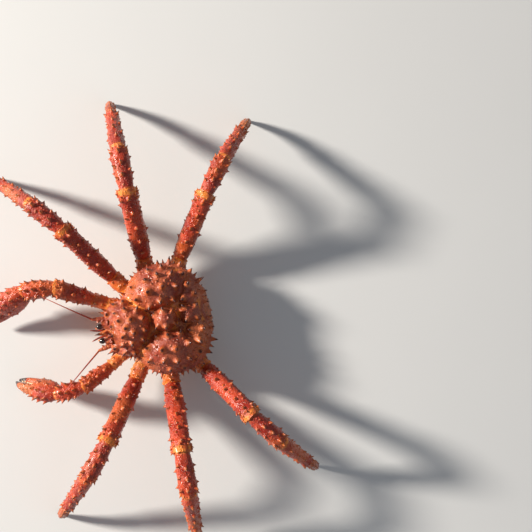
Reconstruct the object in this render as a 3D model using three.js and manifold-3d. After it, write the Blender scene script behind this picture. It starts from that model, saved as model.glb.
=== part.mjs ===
// Red king crab, life size, standing on its six walking legs.
// Millimetres, +Z up. The animal faces -Y and its left side is +X. The floor is z = 0.

import * as THREE from "three";
import { mergeVertices } from "three/addons/utils/BufferGeometryUtils.js";
import Module from "manifold-3d";

const wasm = await Module();
wasm.setup();

// Driving dimensions
const CARAPACE_LENGTH = 152; // front margin to rear margin, without the rostrum
const CARAPACE_WIDTH = 168; // at the widest place, without spines
const SHELL_FLOOR_Z = 66.3; // the flat underside of the carapace
const MARGIN_Z = 72; // the widest line of the carapace
const GAP = 0.3; // kept between pieces that touch
const HALF_LENGTH = CARAPACE_LENGTH / 2;
const HALF_WIDTH = CARAPACE_WIDTH / 2;

// Body under the carapace
const BREAST_Z = 30;
const BREAST_TOP_Z = SHELL_FLOOR_Z - GAP;
const SOCKET_Z = 46; // height of the leg sockets' axes
const FACE_Y = -0.945 * HALF_LENGTH; // the flat that the eyes and feelers grow from
const FACE_HALF_WIDTH = 25;
const BROW_Z = 79.5; // underside of the brow and the rostrum over that flat

// Legs rest on flats cut at the floor
const FOOT_SINK = 0.7;

const DEGREE = Math.PI / 180;
const UP = new THREE.Vector3(0, 0, 1);

// Colours and finishes
const SHELL = { color: 0x9c4433, roughness: 0.42, metalness: 0 };
const LEG_SHELL = { color: 0xb0402c, roughness: 0.4, metalness: 0 };
const UNDERSIDE = { color: 0xd9a583, roughness: 0.5, metalness: 0 };
const JOINT_SHELL = { color: 0xd9823f, roughness: 0.45, metalness: 0 };
const CLAW_TIP = { color: 0x3a2018, roughness: 0.35, metalness: 0 };
const FEELER = { color: 0xb5352a, roughness: 0.5, metalness: 0 };
const EYE = { color: 0x120c0a, roughness: 0.12, metalness: 0 };

const crab = new THREE.Group();
crab.name = "red_king_crab";

// Vectors

const vector = (x, y, z) => new THREE.Vector3(x, y, z);

// Azimuth runs from straight out to the side towards the front; side is 1 on the left and -1 on the right.
function direction(side, azimuth, elevation) {
  const a = azimuth * DEGREE;
  const e = elevation * DEGREE;
  return vector(side * Math.cos(a) * Math.cos(e), -Math.sin(a) * Math.cos(e), Math.sin(e));
}

const stepFrom = (point, way, distance) => point.clone().addScaledVector(way, distance);

const bisector = (one, other) => one.clone().add(other).normalize();

function randomFrom(seed) {
  let state = seed;
  return () => {
    state = (state * 1664525 + 1013904223) % 4294967296;
    return state / 4294967296;
  };
}

// Solids

function solidOf(geometry) {
  const bare = new THREE.BufferGeometry();
  bare.setAttribute("position", geometry.getAttribute("position"));
  if (geometry.index) bare.setIndex(geometry.index);
  const merged = mergeVertices(bare, 1e-4);
  return new wasm.Manifold(
    new wasm.Mesh({
      numProp: 3,
      vertProperties: merged.attributes.position.array,
      triVerts: new Uint32Array(merged.index.array),
    }),
  );
}

// The largest closed surface of a solid, so that a sealed hollow or a loose scrap doesn't stay.
function largest(solid) {
  const bodies = solid.decompose();
  return bodies.reduce((best, body) => (body.volume() > best.volume() ? body : best));
}

const fused = (solids) => largest(wasm.Manifold.union(solids));

function geometryOf(solid) {
  const mesh = solid.getMesh();
  const vertices = new Float32Array(mesh.numVert * 3);
  for (let i = 0; i < mesh.numVert; i++) {
    const from = i * mesh.numProp;
    vertices.set(mesh.vertProperties.subarray(from, from + 3), i * 3);
  }
  const geometry = new THREE.BufferGeometry();
  geometry.setAttribute("position", new THREE.BufferAttribute(vertices, 3));
  geometry.setIndex(new THREE.BufferAttribute(new Uint32Array(mesh.triVerts), 1));
  geometry.computeVertexNormals();
  return geometry;
}

function addNode(name, solid, finish) {
  const mesh = new THREE.Mesh(geometryOf(solid), new THREE.MeshStandardMaterial(finish));
  mesh.name = name;
  crab.add(mesh);
}

// A limb piece is a cylinder whose rings follow a line. Each ring has a place along the line,
// a half height towards its upper side and a half width towards its front or back.

const SECTION_POWER = 2 / 2.35; // a little squarer than an ellipse

const squared = (value) => Math.sign(value) * Math.abs(value) ** SECTION_POWER;

class Limb {
  constructor({ from, to, fromNormal, toNormal, rings, bow = 0, up = UP, startGap = GAP / 2, endGap = GAP / 2 }) {
    this.along = to.clone().sub(from).normalize();
    this.length = to.distanceTo(from);
    this.rings = rings;
    this.bow = bow;
    this.up = up;
    this.from = from;
    this.frames = rings.map(([share, height, width], i) => {
      const last = rings.length - 1;
      const normal = this.tangent(share);
      const centre = this.centre(share);
      if (i === 0 && fromNormal) normal.copy(fromNormal);
      if (i === last && toNormal) normal.copy(toNormal);
      if (i === 0) centre.addScaledVector(normal, startGap);
      if (i === last) centre.addScaledVector(normal, -endGap);
      return { share, height, width, centre, ...this.axes(normal) };
    });
  }

  upper() {
    return this.up.clone().addScaledVector(this.along, -this.up.dot(this.along)).normalize();
  }

  centre(share) {
    const rise = 4 * this.bow * share * (1 - share);
    return stepFrom(this.from, this.along, this.length * share).addScaledVector(this.upper(), rise);
  }

  tangent(share) {
    const slope = (4 * this.bow * (1 - 2 * share)) / this.length;
    return this.along.clone().addScaledVector(this.upper(), slope).normalize();
  }

  axes(normal) {
    const upper = this.up.clone().addScaledVector(normal, -this.up.dot(normal)).normalize();
    return { normal, upper, across: normal.clone().cross(upper) };
  }

  point(frame, across, upper) {
    return frame.centre
      .clone()
      .addScaledVector(frame.across, squared(across) * frame.width)
      .addScaledVector(frame.upper, squared(upper) * frame.height);
  }

  solid(sides) {
    const steps = this.rings.length - 1;
    const geometry = new THREE.CylinderGeometry(1, 1, 1, sides, steps);
    const places = geometry.getAttribute("position");
    for (let i = 0; i < places.count; i++) {
      const ring = Math.round((places.getY(i) + 0.5) * steps);
      const placed = this.point(this.frames[ring], places.getX(i), places.getZ(i));
      places.setXYZ(i, placed.x, placed.y, placed.z);
    }
    return solidOf(geometry);
  }

  // The place on the surface at a share of the length and an angle from the upper side, and the way out of it.
  surface(share, angle) {
    const next = Math.max(1, this.frames.findIndex((frame) => frame.share >= share));
    const before = this.frames[next - 1];
    const after = this.frames[next];
    const mix = (share - before.share) / (after.share - before.share);
    const across = Math.sin(angle * DEGREE);
    const upper = Math.cos(angle * DEGREE);
    const place = this.point(before, across, upper).lerp(this.point(after, across, upper), mix);
    const out = place.clone().sub(before.centre.clone().lerp(after.centre, mix)).normalize();
    return { place, out };
  }

  // Rows of spines: angle from the upper side, count, first and last share, height, and root radius.
  spines(rows, side, random) {
    const made = [];
    for (const [angle, count, first, last, height, radius] of rows) {
      for (let i = 0; i < count; i++) {
        const even = count === 1 ? 0.5 : i / (count - 1);
        const share = first + (last - first) * even + (random() - 0.5) * 0.03;
        const turned = side * angle + (random() - 0.5) * 10;
        const { place, out } = this.surface(share, turned);
        const way = out.addScaledVector(this.along, 0.45).normalize();
        made.push(spine(place, way, height * (0.85 + 0.3 * random()), radius));
      }
    }
    return made;
  }
}

const SPINE_SIDES = 4;
const SPINE_ROOT = 2.2; // how far a spine's root is sunk

function spine(place, way, height, radius, sides = SPINE_SIDES) {
  const whole = height + SPINE_ROOT;
  const rootRadius = (radius * whole) / height;
  const cone = new THREE.ConeGeometry(rootRadius, whole, sides, 1);
  cone.translate(0, whole / 2 - SPINE_ROOT, 0);
  cone.applyQuaternion(new THREE.Quaternion().setFromUnitVectors(vector(0, 1, 0), way));
  cone.translate(place.x, place.y, place.z);
  return solidOf(cone);
}

// Carapace

// Half of the outline, front to rear, as shares of the half width and half length.
const OUTLINE = [
  [0, -1.0],
  [0.17, -1.02],
  [0.3, -0.97],
  [0.43, -0.85],
  [0.5, -0.66],
  [0.58, -0.5],
  [0.75, -0.38],
  [0.89, -0.22],
  [0.97, -0.02],
  [1.0, 0.22],
  [0.97, 0.48],
  [0.87, 0.71],
  [0.68, 0.91],
  [0.43, 1.01],
  [0.2, 1.01],
  [0, 0.97],
];
const DOME_CENTRE_Y = 0.12 * HALF_LENGTH;

// Raised regions: centre and half axes as shares of the half width and half length, and height over the margin.
const REGIONS = {
  gastric: { x: 0, y: -0.53, a: 0.42, b: 0.45, height: 40 },
  cardiac: { x: 0, y: 0.16, a: 0.24, b: 0.29, height: 40 },
  intestinal: { x: 0, y: 0.67, a: 0.2, b: 0.25, height: 27 },
  branchial: { x: 0.57, y: 0.14, a: 0.42, b: 0.6, height: 38 },
  rear_branchial: { x: 0.37, y: 0.74, a: 0.3, b: 0.26, height: 26 },
  hepatic: { x: 0.41, y: -0.64, a: 0.15, b: 0.22, height: 25 },
};
const GROOVE_HEIGHT = 13;
const REGION_BLEND = 2.8;

function outlineCurve() {
  const right = OUTLINE.slice(1, -1).reverse();
  const all = [...OUTLINE, ...right.map(([x, y]) => [-x, y])];
  const points = all.map(([x, y]) => vector(x * HALF_WIDTH, y * HALF_LENGTH, 0));
  return new THREE.CatmullRomCurve3(points, true, "catmullrom", 0.5);
}

const MARGIN = outlineCurve().getPoints(360);

const bearing = (x, y) => Math.atan2(x, -(y - DOME_CENTRE_Y));

const turnBetween = (one, other) => Math.abs(Math.atan2(Math.sin(one - other), Math.cos(one - other)));

// Distance from the dome's centre to the margin at a bearing.
function marginReach(angle) {
  let best = MARGIN[0];
  let nearest = Infinity;
  for (const point of MARGIN) {
    const turn = turnBetween(bearing(point.x, point.y), angle);
    if (turn < nearest) {
      nearest = turn;
      best = point;
    }
  }
  return Math.hypot(best.x, best.y - DOME_CENTRE_Y);
}

const cap = (distance) => Math.max(0, 1 - distance * distance) ** 0.6;

function carapaceHeight(x, y) {
  const reach = marginReach(bearing(x, y));
  const share = Math.min(1, Math.hypot(x, y - DOME_CENTRE_Y) / reach);
  const edge = Math.sqrt(1 - share ** 4);
  let sum = Math.exp(GROOVE_HEIGHT / REGION_BLEND);
  for (const region of Object.values(REGIONS)) {
    const dx = (Math.abs(x) / HALF_WIDTH - region.x) / region.a;
    const dy = (y / HALF_LENGTH - region.y) / region.b;
    sum += Math.exp((region.height * cap(Math.hypot(dx, dy))) / REGION_BLEND);
  }
  return MARGIN_Z + edge * REGION_BLEND * Math.log(sum);
}

function carapaceNormal(x, y) {
  const step = 1.5;
  const dx = (carapaceHeight(x + step, y) - carapaceHeight(x - step, y)) / (2 * step);
  const dy = (carapaceHeight(x, y + step) - carapaceHeight(x, y - step)) / (2 * step);
  return vector(-dx, -dy, 1).normalize();
}

const DOME_SIDES = 44;
const DOME_RINGS = 11;
// Rings under the margin: share of the reach, and height.
const WALL_RINGS = [
  [0.985, 69.5],
  [0.93, SHELL_FLOOR_Z],
  [0.5, SHELL_FLOOR_Z],
  [0, SHELL_FLOOR_Z],
];

function carapaceDome() {
  const rings = DOME_RINGS + WALL_RINGS.length;
  const geometry = new THREE.SphereGeometry(1, DOME_SIDES, rings);
  const places = geometry.getAttribute("position");
  const curve = outlineCurve();
  for (let i = 0; i < places.count; i++) {
    const ring = Math.round((Math.acos(THREE.MathUtils.clamp(places.getY(i), -1, 1)) / Math.PI) * rings);
    const turn = Math.atan2(-places.getZ(i), places.getX(i)) / (2 * Math.PI);
    const edge = curve.getPoint((turn + 1) % 1);
    const share = ring <= DOME_RINGS ? ring / DOME_RINGS : WALL_RINGS[ring - DOME_RINGS - 1][0];
    const x = edge.x * share;
    const y = DOME_CENTRE_Y + (edge.y - DOME_CENTRE_Y) * share;
    const z = ring <= DOME_RINGS ? carapaceHeight(x, y) : WALL_RINGS[ring - DOME_RINGS - 1][1];
    places.setXYZ(i, x, y, z);
  }
  return solidOf(geometry);
}

// Spines on the left half, as shares of the half width and half length, and height.
// Those off the midline are mirrored.
const BACK_SPINES = [
  [0.1, 0.02, 9.5],
  [0.13, 0.16, 9.5],
  [0.1, 0.32, 9],
  [0.1, -0.26, 8.5],
  [0.24, -0.32, 9.5],
  [0.1, -0.46, 8],
  [0.28, -0.52, 9.5],
  [0.12, -0.66, 9.5],
  [0.27, -0.72, 8],
  [0, -0.57, 7],
  [0.07, -0.83, 8],
  [0.1, 0.6, 8.5],
  [0.1, 0.8, 7.5],
  [0.31, -0.87, 6.5],
  [0.42, -0.72, 8],
  [0.45, -0.54, 7],
  [0.29, -0.06, 8],
  [0.32, 0.16, 9.5],
  [0.32, 0.4, 9],
  [0.29, 0.62, 9],
  [0.32, 0.84, 8.5],
  [0.45, -0.24, 8.5],
  [0.52, 0.0, 10.5],
  [0.55, 0.26, 11],
  [0.51, 0.5, 10],
  [0.5, 0.74, 9.5],
  [0.66, -0.28, 8],
  [0.72, -0.02, 9.5],
  [0.76, 0.22, 10],
  [0.73, 0.47, 9.5],
  [0.68, 0.7, 9],
  [0.87, 0.08, 8],
  [0.89, 0.34, 8],
];
const BACK_SPINE_RADIUS = 4;
const BACKWARD_LEAN = -0.18;

function backSpines(random) {
  const made = [];
  for (const [shareX, shareY, height] of BACK_SPINES) {
    for (const side of shareX === 0 ? [1] : [1, -1]) {
      const x = side * shareX * HALF_WIDTH + (random() - 0.5) * 2;
      const y = shareY * HALF_LENGTH + (random() - 0.5) * 2;
      const way = carapaceNormal(x, y);
      way.y += BACKWARD_LEAN;
      const tall = height * (0.9 + 0.2 * random());
      made.push(spine(vector(x, y, carapaceHeight(x, y)), way.normalize(), tall, BACK_SPINE_RADIUS));
    }
  }
  return made;
}

// Marginal spines point outwards; the front corner and the middle of each flank carry the longest.
const MARGIN_SPINES = 15;
const MARGIN_FIRST = 0.085;
const MARGIN_LAST = 0.475;

function marginSpines(random) {
  const made = [];
  const curve = outlineCurve();
  for (const side of [1, -1]) {
    for (let i = 0; i < MARGIN_SPINES; i++) {
      const share = MARGIN_FIRST + ((MARGIN_LAST - MARGIN_FIRST) * i) / (MARGIN_SPINES - 1);
      const place = curve.getPoint(share);
      const along = curve.getTangent(share);
      const out = vector(along.y, -along.x, 0);
      if (out.dot(vector(place.x, place.y - DOME_CENTRE_Y, 0)) < 0) out.negate();
      const rise = 0.35 + 0.3 * random();
      const way = vector(side * out.x, out.y, rise).normalize();
      const tall = (i % 3 === 0 ? 10 : 7.5) * (0.9 + 0.2 * random());
      const inset = vector(side * (place.x - out.x * 1.5), place.y - out.y * 1.5, MARGIN_Z + 1.5);
      made.push(spine(inset, way, tall, 3.4));
    }
  }
  return made;
}

// The rostrum: a blunt beak with one spine on top, a pair beside it and one under its tip.
const ROSTRUM_ROOT = vector(0, -0.86 * HALF_LENGTH, 84);
const ROSTRUM_LENGTH = 27;
const ROSTRUM_RADIUS = 9;

function rostrum() {
  const ahead = vector(0, -1, 0.12).normalize();
  const beside = (side) => vector(side * 6, -0.93 * HALF_LENGTH, 86.5);
  return [
    spine(ROSTRUM_ROOT, ahead, ROSTRUM_LENGTH, ROSTRUM_RADIUS, 8),
    spine(beside(1), vector(0.45, -1, 0.5).normalize(), 11, 3.4),
    spine(beside(-1), vector(-0.45, -1, 0.5).normalize(), 11, 3.4),
    spine(vector(0, -0.98 * HALF_LENGTH, 89), vector(0, -0.5, 1).normalize(), 8, 3.2),
    spine(vector(0, -1.07 * HALF_LENGTH, 88), vector(0, -0.6, 1).normalize(), 5, 2.2),
  ];
}

function orbitSpines() {
  const made = [];
  for (const side of [1, -1]) {
    made.push(spine(vector(side * 28.5, -0.94 * HALF_LENGTH, 77), vector(side * 0.4, -1, 0.3).normalize(), 10, 3.2));
    made.push(spine(vector(side * 15, -0.97 * HALF_LENGTH, 82), vector(side * 0.2, -1, 0.35).normalize(), 6, 2.8));
  }
  return made;
}

function carapace() {
  const random = randomFrom(11);
  const whole = fused([carapaceDome(), ...backSpines(random), ...marginSpines(random), ...rostrum(), ...orbitSpines()]);
  const depth = 60;
  const tall = BROW_Z - 40;
  const orbit = new THREE.BoxGeometry(2 * FACE_HALF_WIDTH, depth, tall);
  orbit.translate(0, FACE_Y - depth / 2, BROW_Z - tall / 2);
  addNode("carapace", largest(whole.subtract(solidOf(orbit))), SHELL);
}

// Limb roots on the breast: place, and the way the root points.
const ROOTS = {
  cheliped: { x: 33, y: -50, z: SOCKET_Z + 1, azimuth: 60, elevation: 4, radius: 11.5 },
  leg1: { x: 43, y: -24, z: SOCKET_Z, azimuth: 34, elevation: 4, radius: 12.5 },
  leg2: { x: 51, y: 5, z: SOCKET_Z, azimuth: 3, elevation: 4, radius: 13 },
  leg3: { x: 47, y: 34, z: SOCKET_Z, azimuth: -30, elevation: 4, radius: 12.5 },
  maxilliped: { x: 9.5, y: -62, z: 47, azimuth: 86, elevation: -8, radius: 6.5 },
};

const rootPlace = (root, side) => vector(side * root.x, root.y, root.z);
const rootWay = (root, side) => direction(side, root.azimuth, root.elevation);

// Breast
// Half of the sternum's outline, front to rear.
const BREAST_OUTLINE = [
  [0, -60],
  [20, -58],
  [31, -46],
  [39, -22],
  [45, 6],
  [43, 34],
  [32, 52],
  [0, 57],
];
const SOCKET_DEPTH = 26;
const BREAST_BEVEL = 5;

function breastCore() {
  const shape = new THREE.Shape();
  const right = BREAST_OUTLINE.slice(1, -1).reverse();
  const all = [...BREAST_OUTLINE, ...right.map(([x, y]) => [-x, y])];
  shape.moveTo(...all[0]);
  for (const [x, y] of all.slice(1)) shape.lineTo(x, y);
  const geometry = new THREE.ExtrudeGeometry(shape, {
    depth: BREAST_TOP_Z - BREAST_Z - BREAST_BEVEL,
    bevelEnabled: true,
    bevelThickness: BREAST_BEVEL,
    bevelSize: BREAST_BEVEL,
    bevelOffset: -BREAST_BEVEL,
    bevelSegments: 2,
  });
  geometry.translate(0, 0, BREAST_Z + BREAST_BEVEL);
  return solidOf(geometry);
}

function socket(root, side) {
  const end = stepFrom(rootPlace(root, side), rootWay(root, side), -GAP / 2);
  const start = stepFrom(end, rootWay(root, side), -SOCKET_DEPTH);
  const rings = [
    [0, root.radius * 0.8, root.radius * 0.8],
    [0.8, root.radius, root.radius],
    [1, root.radius * 0.92, root.radius * 0.92],
  ];
  return new Limb({ from: start, to: end, rings, startGap: 0, endGap: 0 }).solid(10);
}

function breast() {
  const pieces = [breastCore()];
  for (const root of Object.values(ROOTS)) {
    for (const side of [1, -1]) pieces.push(socket(root, side));
  }
  const trimmed = fused(pieces).trimByPlane([0, 0, -1], -BREAST_TOP_Z);
  addNode("breast", largest(trimmed), UNDERSIDE);
}

// Abdomen: a tail that leaves the rear of the carapace, turns under and lies folded against the breast.
// Line of the tail in the middle plane: y and z, with half width and half thickness.
const TAIL_BASE = [
  { y: 68, z: 66, width: 33, thick: 4.5, tilt: -90 },
  { y: 77, z: 54, width: 36, thick: 5, tilt: -70 },
  { y: 80, z: 42, width: 36, thick: 5, tilt: -100 },
  { y: 75, z: 31, width: 34, thick: 4.8, tilt: -140 },
];
const TAIL_FLAP = [
  { y: 75, z: 31, width: 33, thick: 4.6, tilt: -140 },
  { y: 60, z: 25, width: 32, thick: 4.4, tilt: -172 },
  { y: 36, z: 24.6, width: 30, thick: 4.4, tilt: -180 },
  { y: 12, z: 24.6, width: 24, thick: 4.2, tilt: -180 },
  { y: -8, z: 24.8, width: 15, thick: 4, tilt: -180 },
  { y: -20, z: 25.4, width: 5, thick: 3, tilt: -180 },
];

function tailPiece(stations, startGap, endGap) {
  const geometry = new THREE.CylinderGeometry(1, 1, 1, 16, stations.length - 1);
  const places = geometry.getAttribute("position");
  for (let i = 0; i < places.count; i++) {
    const station = Math.round((places.getY(i) + 0.5) * (stations.length - 1));
    const { y, z, width, thick, tilt } = stations[station];
    const ahead = vector(0, Math.cos(tilt * DEGREE), Math.sin(tilt * DEGREE));
    const across = vector(1, 0, 0);
    const out = across.clone().cross(ahead);
    const shift = station === 0 ? startGap : station === stations.length - 1 ? -endGap : 0;
    const placed = vector(0, y, z)
      .addScaledVector(ahead, shift)
      .addScaledVector(across, squared(places.getX(i)) * width)
      .addScaledVector(out, squared(places.getZ(i)) * thick);
    places.setXYZ(i, placed.x, placed.y, placed.z);
  }
  return solidOf(geometry);
}

function abdomen() {
  addNode("abdomen_base", tailPiece(TAIL_BASE, 0, GAP / 2), SHELL);
  addNode("abdomen_flap", tailPiece(TAIL_FLAP, GAP / 2, 0), UNDERSIDE);
}

// Walking legs: lengths along the leg of the joint with the middle leg as 1.
const LEG_LENGTHS = { base: 46, merus: 128, carpus: 58, propodus: 98, dactylus: 66 };
const LEG_POSES = {
  leg1: { scale: 0.96, swing: [34, 36, 40, 43, 44], merusRise: 40, carpusRise: -4 },
  leg2: { scale: 1.02, swing: [3, 3, 1, 0, 0], merusRise: 44, carpusRise: -6 },
  leg3: { scale: 0.98, swing: [-30, -33, -37, -41, -43], merusRise: 41, carpusRise: -6 },
};
const SIDE_TURNS = { 1: { swing: 2, rise: 1.5 }, [-1]: { swing: -2, rise: -1.5 } };
const TOE_DROP = 16; // the dactylus points this much further down than the propodus
const TOE_BOW = 5.5;

// Ring tables: share of the length, half height and half width.
const BASE_RINGS = [
  [0, 12, 11.8],
  [0.2, 13, 12.8],
  [0.42, 11, 11.2],
  [0.56, 12.4, 12.4],
  [0.86, 12.8, 12.6],
  [1, 11.6, 11.6],
];
const MERUS_RINGS = [
  [0, 11, 10.8],
  [0.12, 14, 12.6],
  [0.35, 15.8, 13.8],
  [0.62, 15.2, 13.4],
  [0.88, 15.2, 13.6],
  [0.95, 16, 14.4],
  [1, 13.6, 12.6],
];
const CARPUS_RINGS = [
  [0, 10.4, 10],
  [0.24, 13, 12],
  [0.55, 14, 12.6],
  [0.84, 14.4, 13.2],
  [1, 12.2, 11.4],
];
const PROPODUS_RINGS = [
  [0, 10.2, 9.8],
  [0.12, 12.8, 11.4],
  [0.4, 12.4, 10.8],
  [0.7, 11, 9.6],
  [0.92, 10.6, 9.6],
  [1, 9.2, 8.2],
];
const DACTYLUS_RINGS = [
  [0, 7.4, 6.8],
  [0.13, 9, 7.8],
  [0.35, 8, 6.8],
  [0.58, 6.4, 5.4],
  [0.8, 4.4, 3.8],
  [1, 1.9, 1.7],
];

// Spine tables: angle from the upper side, count, first and last share, height, root radius.
const MERUS_SPINES = [
  [0, 5, 0.16, 0.93, 9, 3.2],
  [48, 4, 0.22, 0.9, 7, 2.8],
  [-48, 4, 0.3, 0.92, 7, 2.8],
  [95, 2, 0.3, 0.8, 5.5, 2.5],
  [-95, 2, 0.4, 0.84, 5.5, 2.5],
];
const CARPUS_SPINES = [
  [0, 3, 0.3, 0.86, 9.5, 3],
  [45, 3, 0.24, 0.84, 7, 2.6],
  [-45, 2, 0.4, 0.84, 7, 2.6],
  [92, 2, 0.4, 0.8, 5, 2.3],
  [-92, 2, 0.35, 0.75, 5, 2.3],
];
const PROPODUS_SPINES = [
  [0, 4, 0.16, 0.9, 7.5, 2.8],
  [52, 3, 0.24, 0.86, 6, 2.5],
  [-52, 3, 0.3, 0.85, 6, 2.5],
  [100, 2, 0.3, 0.7, 5, 2.3],
];

const scaledRings = (rings, scale) => rings.map(([share, height, width]) => [share, height * scale, width * scale]);

// The five joints and the tip of a walking leg, with the tip sunk a little under the floor.
function legJoints(name, side) {
  const pose = LEG_POSES[name];
  const root = ROOTS[name];
  const turn = SIDE_TURNS[side];
  const lengths = Object.values(LEG_LENGTHS).map((length) => length * pose.scale);
  const along = (drop) => {
    const rises = [root.elevation, pose.merusRise + turn.rise, pose.carpusRise, drop, drop - TOE_DROP];
    return rises.map((rise, i) => direction(side, pose.swing[i] + (i > 0 ? turn.swing : 0), rise));
  };
  const walk = (ways) => {
    const points = [rootPlace(root, side)];
    ways.forEach((way, i) => points.push(stepFrom(points[i], way, lengths[i])));
    return points;
  };
  let low = -88;
  let high = 0;
  for (let i = 0; i < 40; i++) {
    const middle = (low + high) / 2;
    const tip = walk(along(middle))[5];
    if (tip.z > -FOOT_SINK) high = middle;
    else low = middle;
  }
  const ways = along((low + high) / 2);
  return { points: walk(ways), ways, scale: pose.scale };
}

function walkingLeg(name, side) {
  const random = randomFrom(31 * name.charCodeAt(3) + side);
  const { points, ways, scale } = legJoints(name, side);
  const label = `${name}_${side > 0 ? "left" : "right"}`;
  const normals = ways.map((way, i) => (i === 0 ? way : bisector(ways[i - 1], way)));
  const limb = (i, rings, bow = 0) =>
    new Limb({
      from: points[i],
      to: points[i + 1],
      fromNormal: normals[i],
      toNormal: normals[i + 1],
      rings: scaledRings(rings, scale),
      bow,
      endGap: i === 4 ? 0 : GAP / 2,
    });
  const base = limb(0, BASE_RINGS);
  const merus = limb(1, MERUS_RINGS);
  const carpus = limb(2, CARPUS_RINGS);
  const propodus = limb(3, PROPODUS_RINGS);
  const dactylus = limb(4, DACTYLUS_RINGS, TOE_BOW);
  addNode(`${label}_base`, base.solid(10), JOINT_SHELL);
  addNode(`${label}_merus`, fused([merus.solid(10), ...merus.spines(MERUS_SPINES, side, random)]), LEG_SHELL);
  addNode(`${label}_carpus`, fused([carpus.solid(10), ...carpus.spines(CARPUS_SPINES, side, random)]), LEG_SHELL);
  addNode(`${label}_propodus`, fused([propodus.solid(10), ...propodus.spines(PROPODUS_SPINES, side, random)]), LEG_SHELL);
  addNode(`${label}_dactylus`, largest(dactylus.solid(8).trimByPlane([0, 0, 1], 0)), CLAW_TIP);
}

// Chelipeds: the right one is the heavier crusher.
const CHELIPED_LENGTHS = { base: 38, merus: 60, carpus: 42 };
const CHELIPED_POSES = {
  [1]: { scale: 0.92, swing: [60, 66, 88, 118], rise: [4, 26, -6, -34], roll: 35 },
  [-1]: { scale: 1.06, swing: [60, 60, 84, 116], rise: [4, 24, -8, -32], roll: 35 },
};
const ARM_BASE_RINGS = [
  [0, 10.6, 10],
  [0.25, 11.8, 11],
  [0.5, 9.8, 9.4],
  [0.65, 10.6, 10],
  [1, 10, 9.4],
];
const ARM_MERUS_RINGS = [
  [0, 9.4, 8.8],
  [0.2, 12, 10.5],
  [0.55, 14, 12],
  [0.88, 14.6, 12.6],
  [1, 12, 10.6],
];
const ARM_CARPUS_RINGS = [
  [0, 9.6, 8.8],
  [0.3, 13.6, 12.4],
  [0.65, 15, 13],
  [0.9, 13.6, 12],
  [1, 11, 9.6],
];
const ARM_MERUS_SPINES = [
  [0, 3, 0.3, 0.86, 8.5, 3],
  [60, 3, 0.35, 0.88, 7.5, 2.8],
  [-60, 3, 0.3, 0.88, 7.5, 2.8],
  [110, 2, 0.4, 0.8, 5, 2.4],
];
const ARM_CARPUS_SPINES = [
  [0, 3, 0.3, 0.82, 9, 3],
  [50, 3, 0.25, 0.8, 8.5, 2.9],
  [-50, 3, 0.3, 0.8, 8, 2.9],
  [100, 2, 0.35, 0.72, 7, 2.6],
];
const PALM_LENGTH = 44;
const PALM_RINGS = [
  [0, 9.6, 8.8],
  [0.22, 17, 12.8],
  [0.6, 20, 14.4],
  [0.88, 19.6, 13.6],
  [1, 18, 12.6],
];
const PALM_SPINES = [
  [0, 3, 0.25, 0.85, 8, 2.9],
  [40, 3, 0.3, 0.85, 7, 2.6],
  [-40, 3, 0.3, 0.85, 7, 2.6],
  [85, 2, 0.4, 0.8, 5, 2.3],
  [-85, 2, 0.4, 0.8, 5, 2.3],
];
const FINGER_LENGTH = 42;
const FINGER_RINGS = [
  [0, 7.2, 8.6],
  [0.15, 7.8, 8.4],
  [0.45, 6.4, 6.8],
  [0.75, 4.6, 4.8],
  [1, 1.8, 1.9],
];
const FINGER_APART = 8.9; // how far each finger's root lies from the palm's axis
const FINGER_CLOSE = 3.4; // and its tip
const FINGER_BOW = 3.2;

function cheliped(side) {
  const random = randomFrom(71 + side);
  const { scale, swing, rise, roll } = CHELIPED_POSES[side];
  const label = side > 0 ? "cheliped_left" : "cheliped_right";
  const root = ROOTS.cheliped;
  const lengths = [...Object.values(CHELIPED_LENGTHS), PALM_LENGTH].map((length) => length * scale);
  const ways = rise.map((elevation, i) => direction(side, swing[i], elevation));
  const points = [rootPlace(root, side)];
  ways.forEach((way, i) => points.push(stepFrom(points[i], way, lengths[i])));
  const normals = ways.map((way, i) => (i === 0 ? way : bisector(ways[i - 1], way)));
  const limb = (i, rings, toNormal) =>
    new Limb({
      from: points[i],
      to: points[i + 1],
      fromNormal: normals[i],
      toNormal,
      rings: scaledRings(rings, scale),
    });
  const base = limb(0, ARM_BASE_RINGS, normals[1]);
  const merus = limb(1, ARM_MERUS_RINGS, normals[2]);
  const carpus = limb(2, ARM_CARPUS_RINGS, normals[3]);
  addNode(`${label}_base`, base.solid(10), JOINT_SHELL);
  addNode(`${label}_merus`, fused([merus.solid(10), ...merus.spines(ARM_MERUS_SPINES, side, random)]), LEG_SHELL);
  addNode(`${label}_carpus`, fused([carpus.solid(10), ...carpus.spines(ARM_CARPUS_SPINES, side, random)]), LEG_SHELL);

  const palmWay = ways[3];
  const upper = UP.clone().applyAxisAngle(palmWay, -side * roll * DEGREE);
  const palm = new Limb({
    from: points[3],
    to: points[4],
    fromNormal: normals[3],
    toNormal: palmWay,
    rings: scaledRings(PALM_RINGS, scale),
    up: upper,
  });
  const open = palm.upper();
  const knuckle = points[4];
  const finger = (way, start) => {
    const from = stepFrom(knuckle, open, way * FINGER_APART * scale).addScaledVector(palmWay, start);
    const to = stepFrom(stepFrom(knuckle, palmWay, FINGER_LENGTH * scale), open, way * FINGER_CLOSE * scale);
    return new Limb({
      from,
      to,
      fromNormal: palmWay,
      rings: scaledRings(FINGER_RINGS, scale),
      bow: way * FINGER_BOW,
      up: upper,
      endGap: 0,
    });
  };
  const sunk = -8 * scale;
  const fixed = finger(-1, sunk);
  const moving = finger(1, 0);
  const hand = [palm.solid(12), fixed.solid(10), ...palm.spines(PALM_SPINES, side, random)];
  addNode(`${label}_palm`, fused(hand), LEG_SHELL);
  addNode(`${label}_finger`, moving.solid(10), CLAW_TIP);
}

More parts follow.
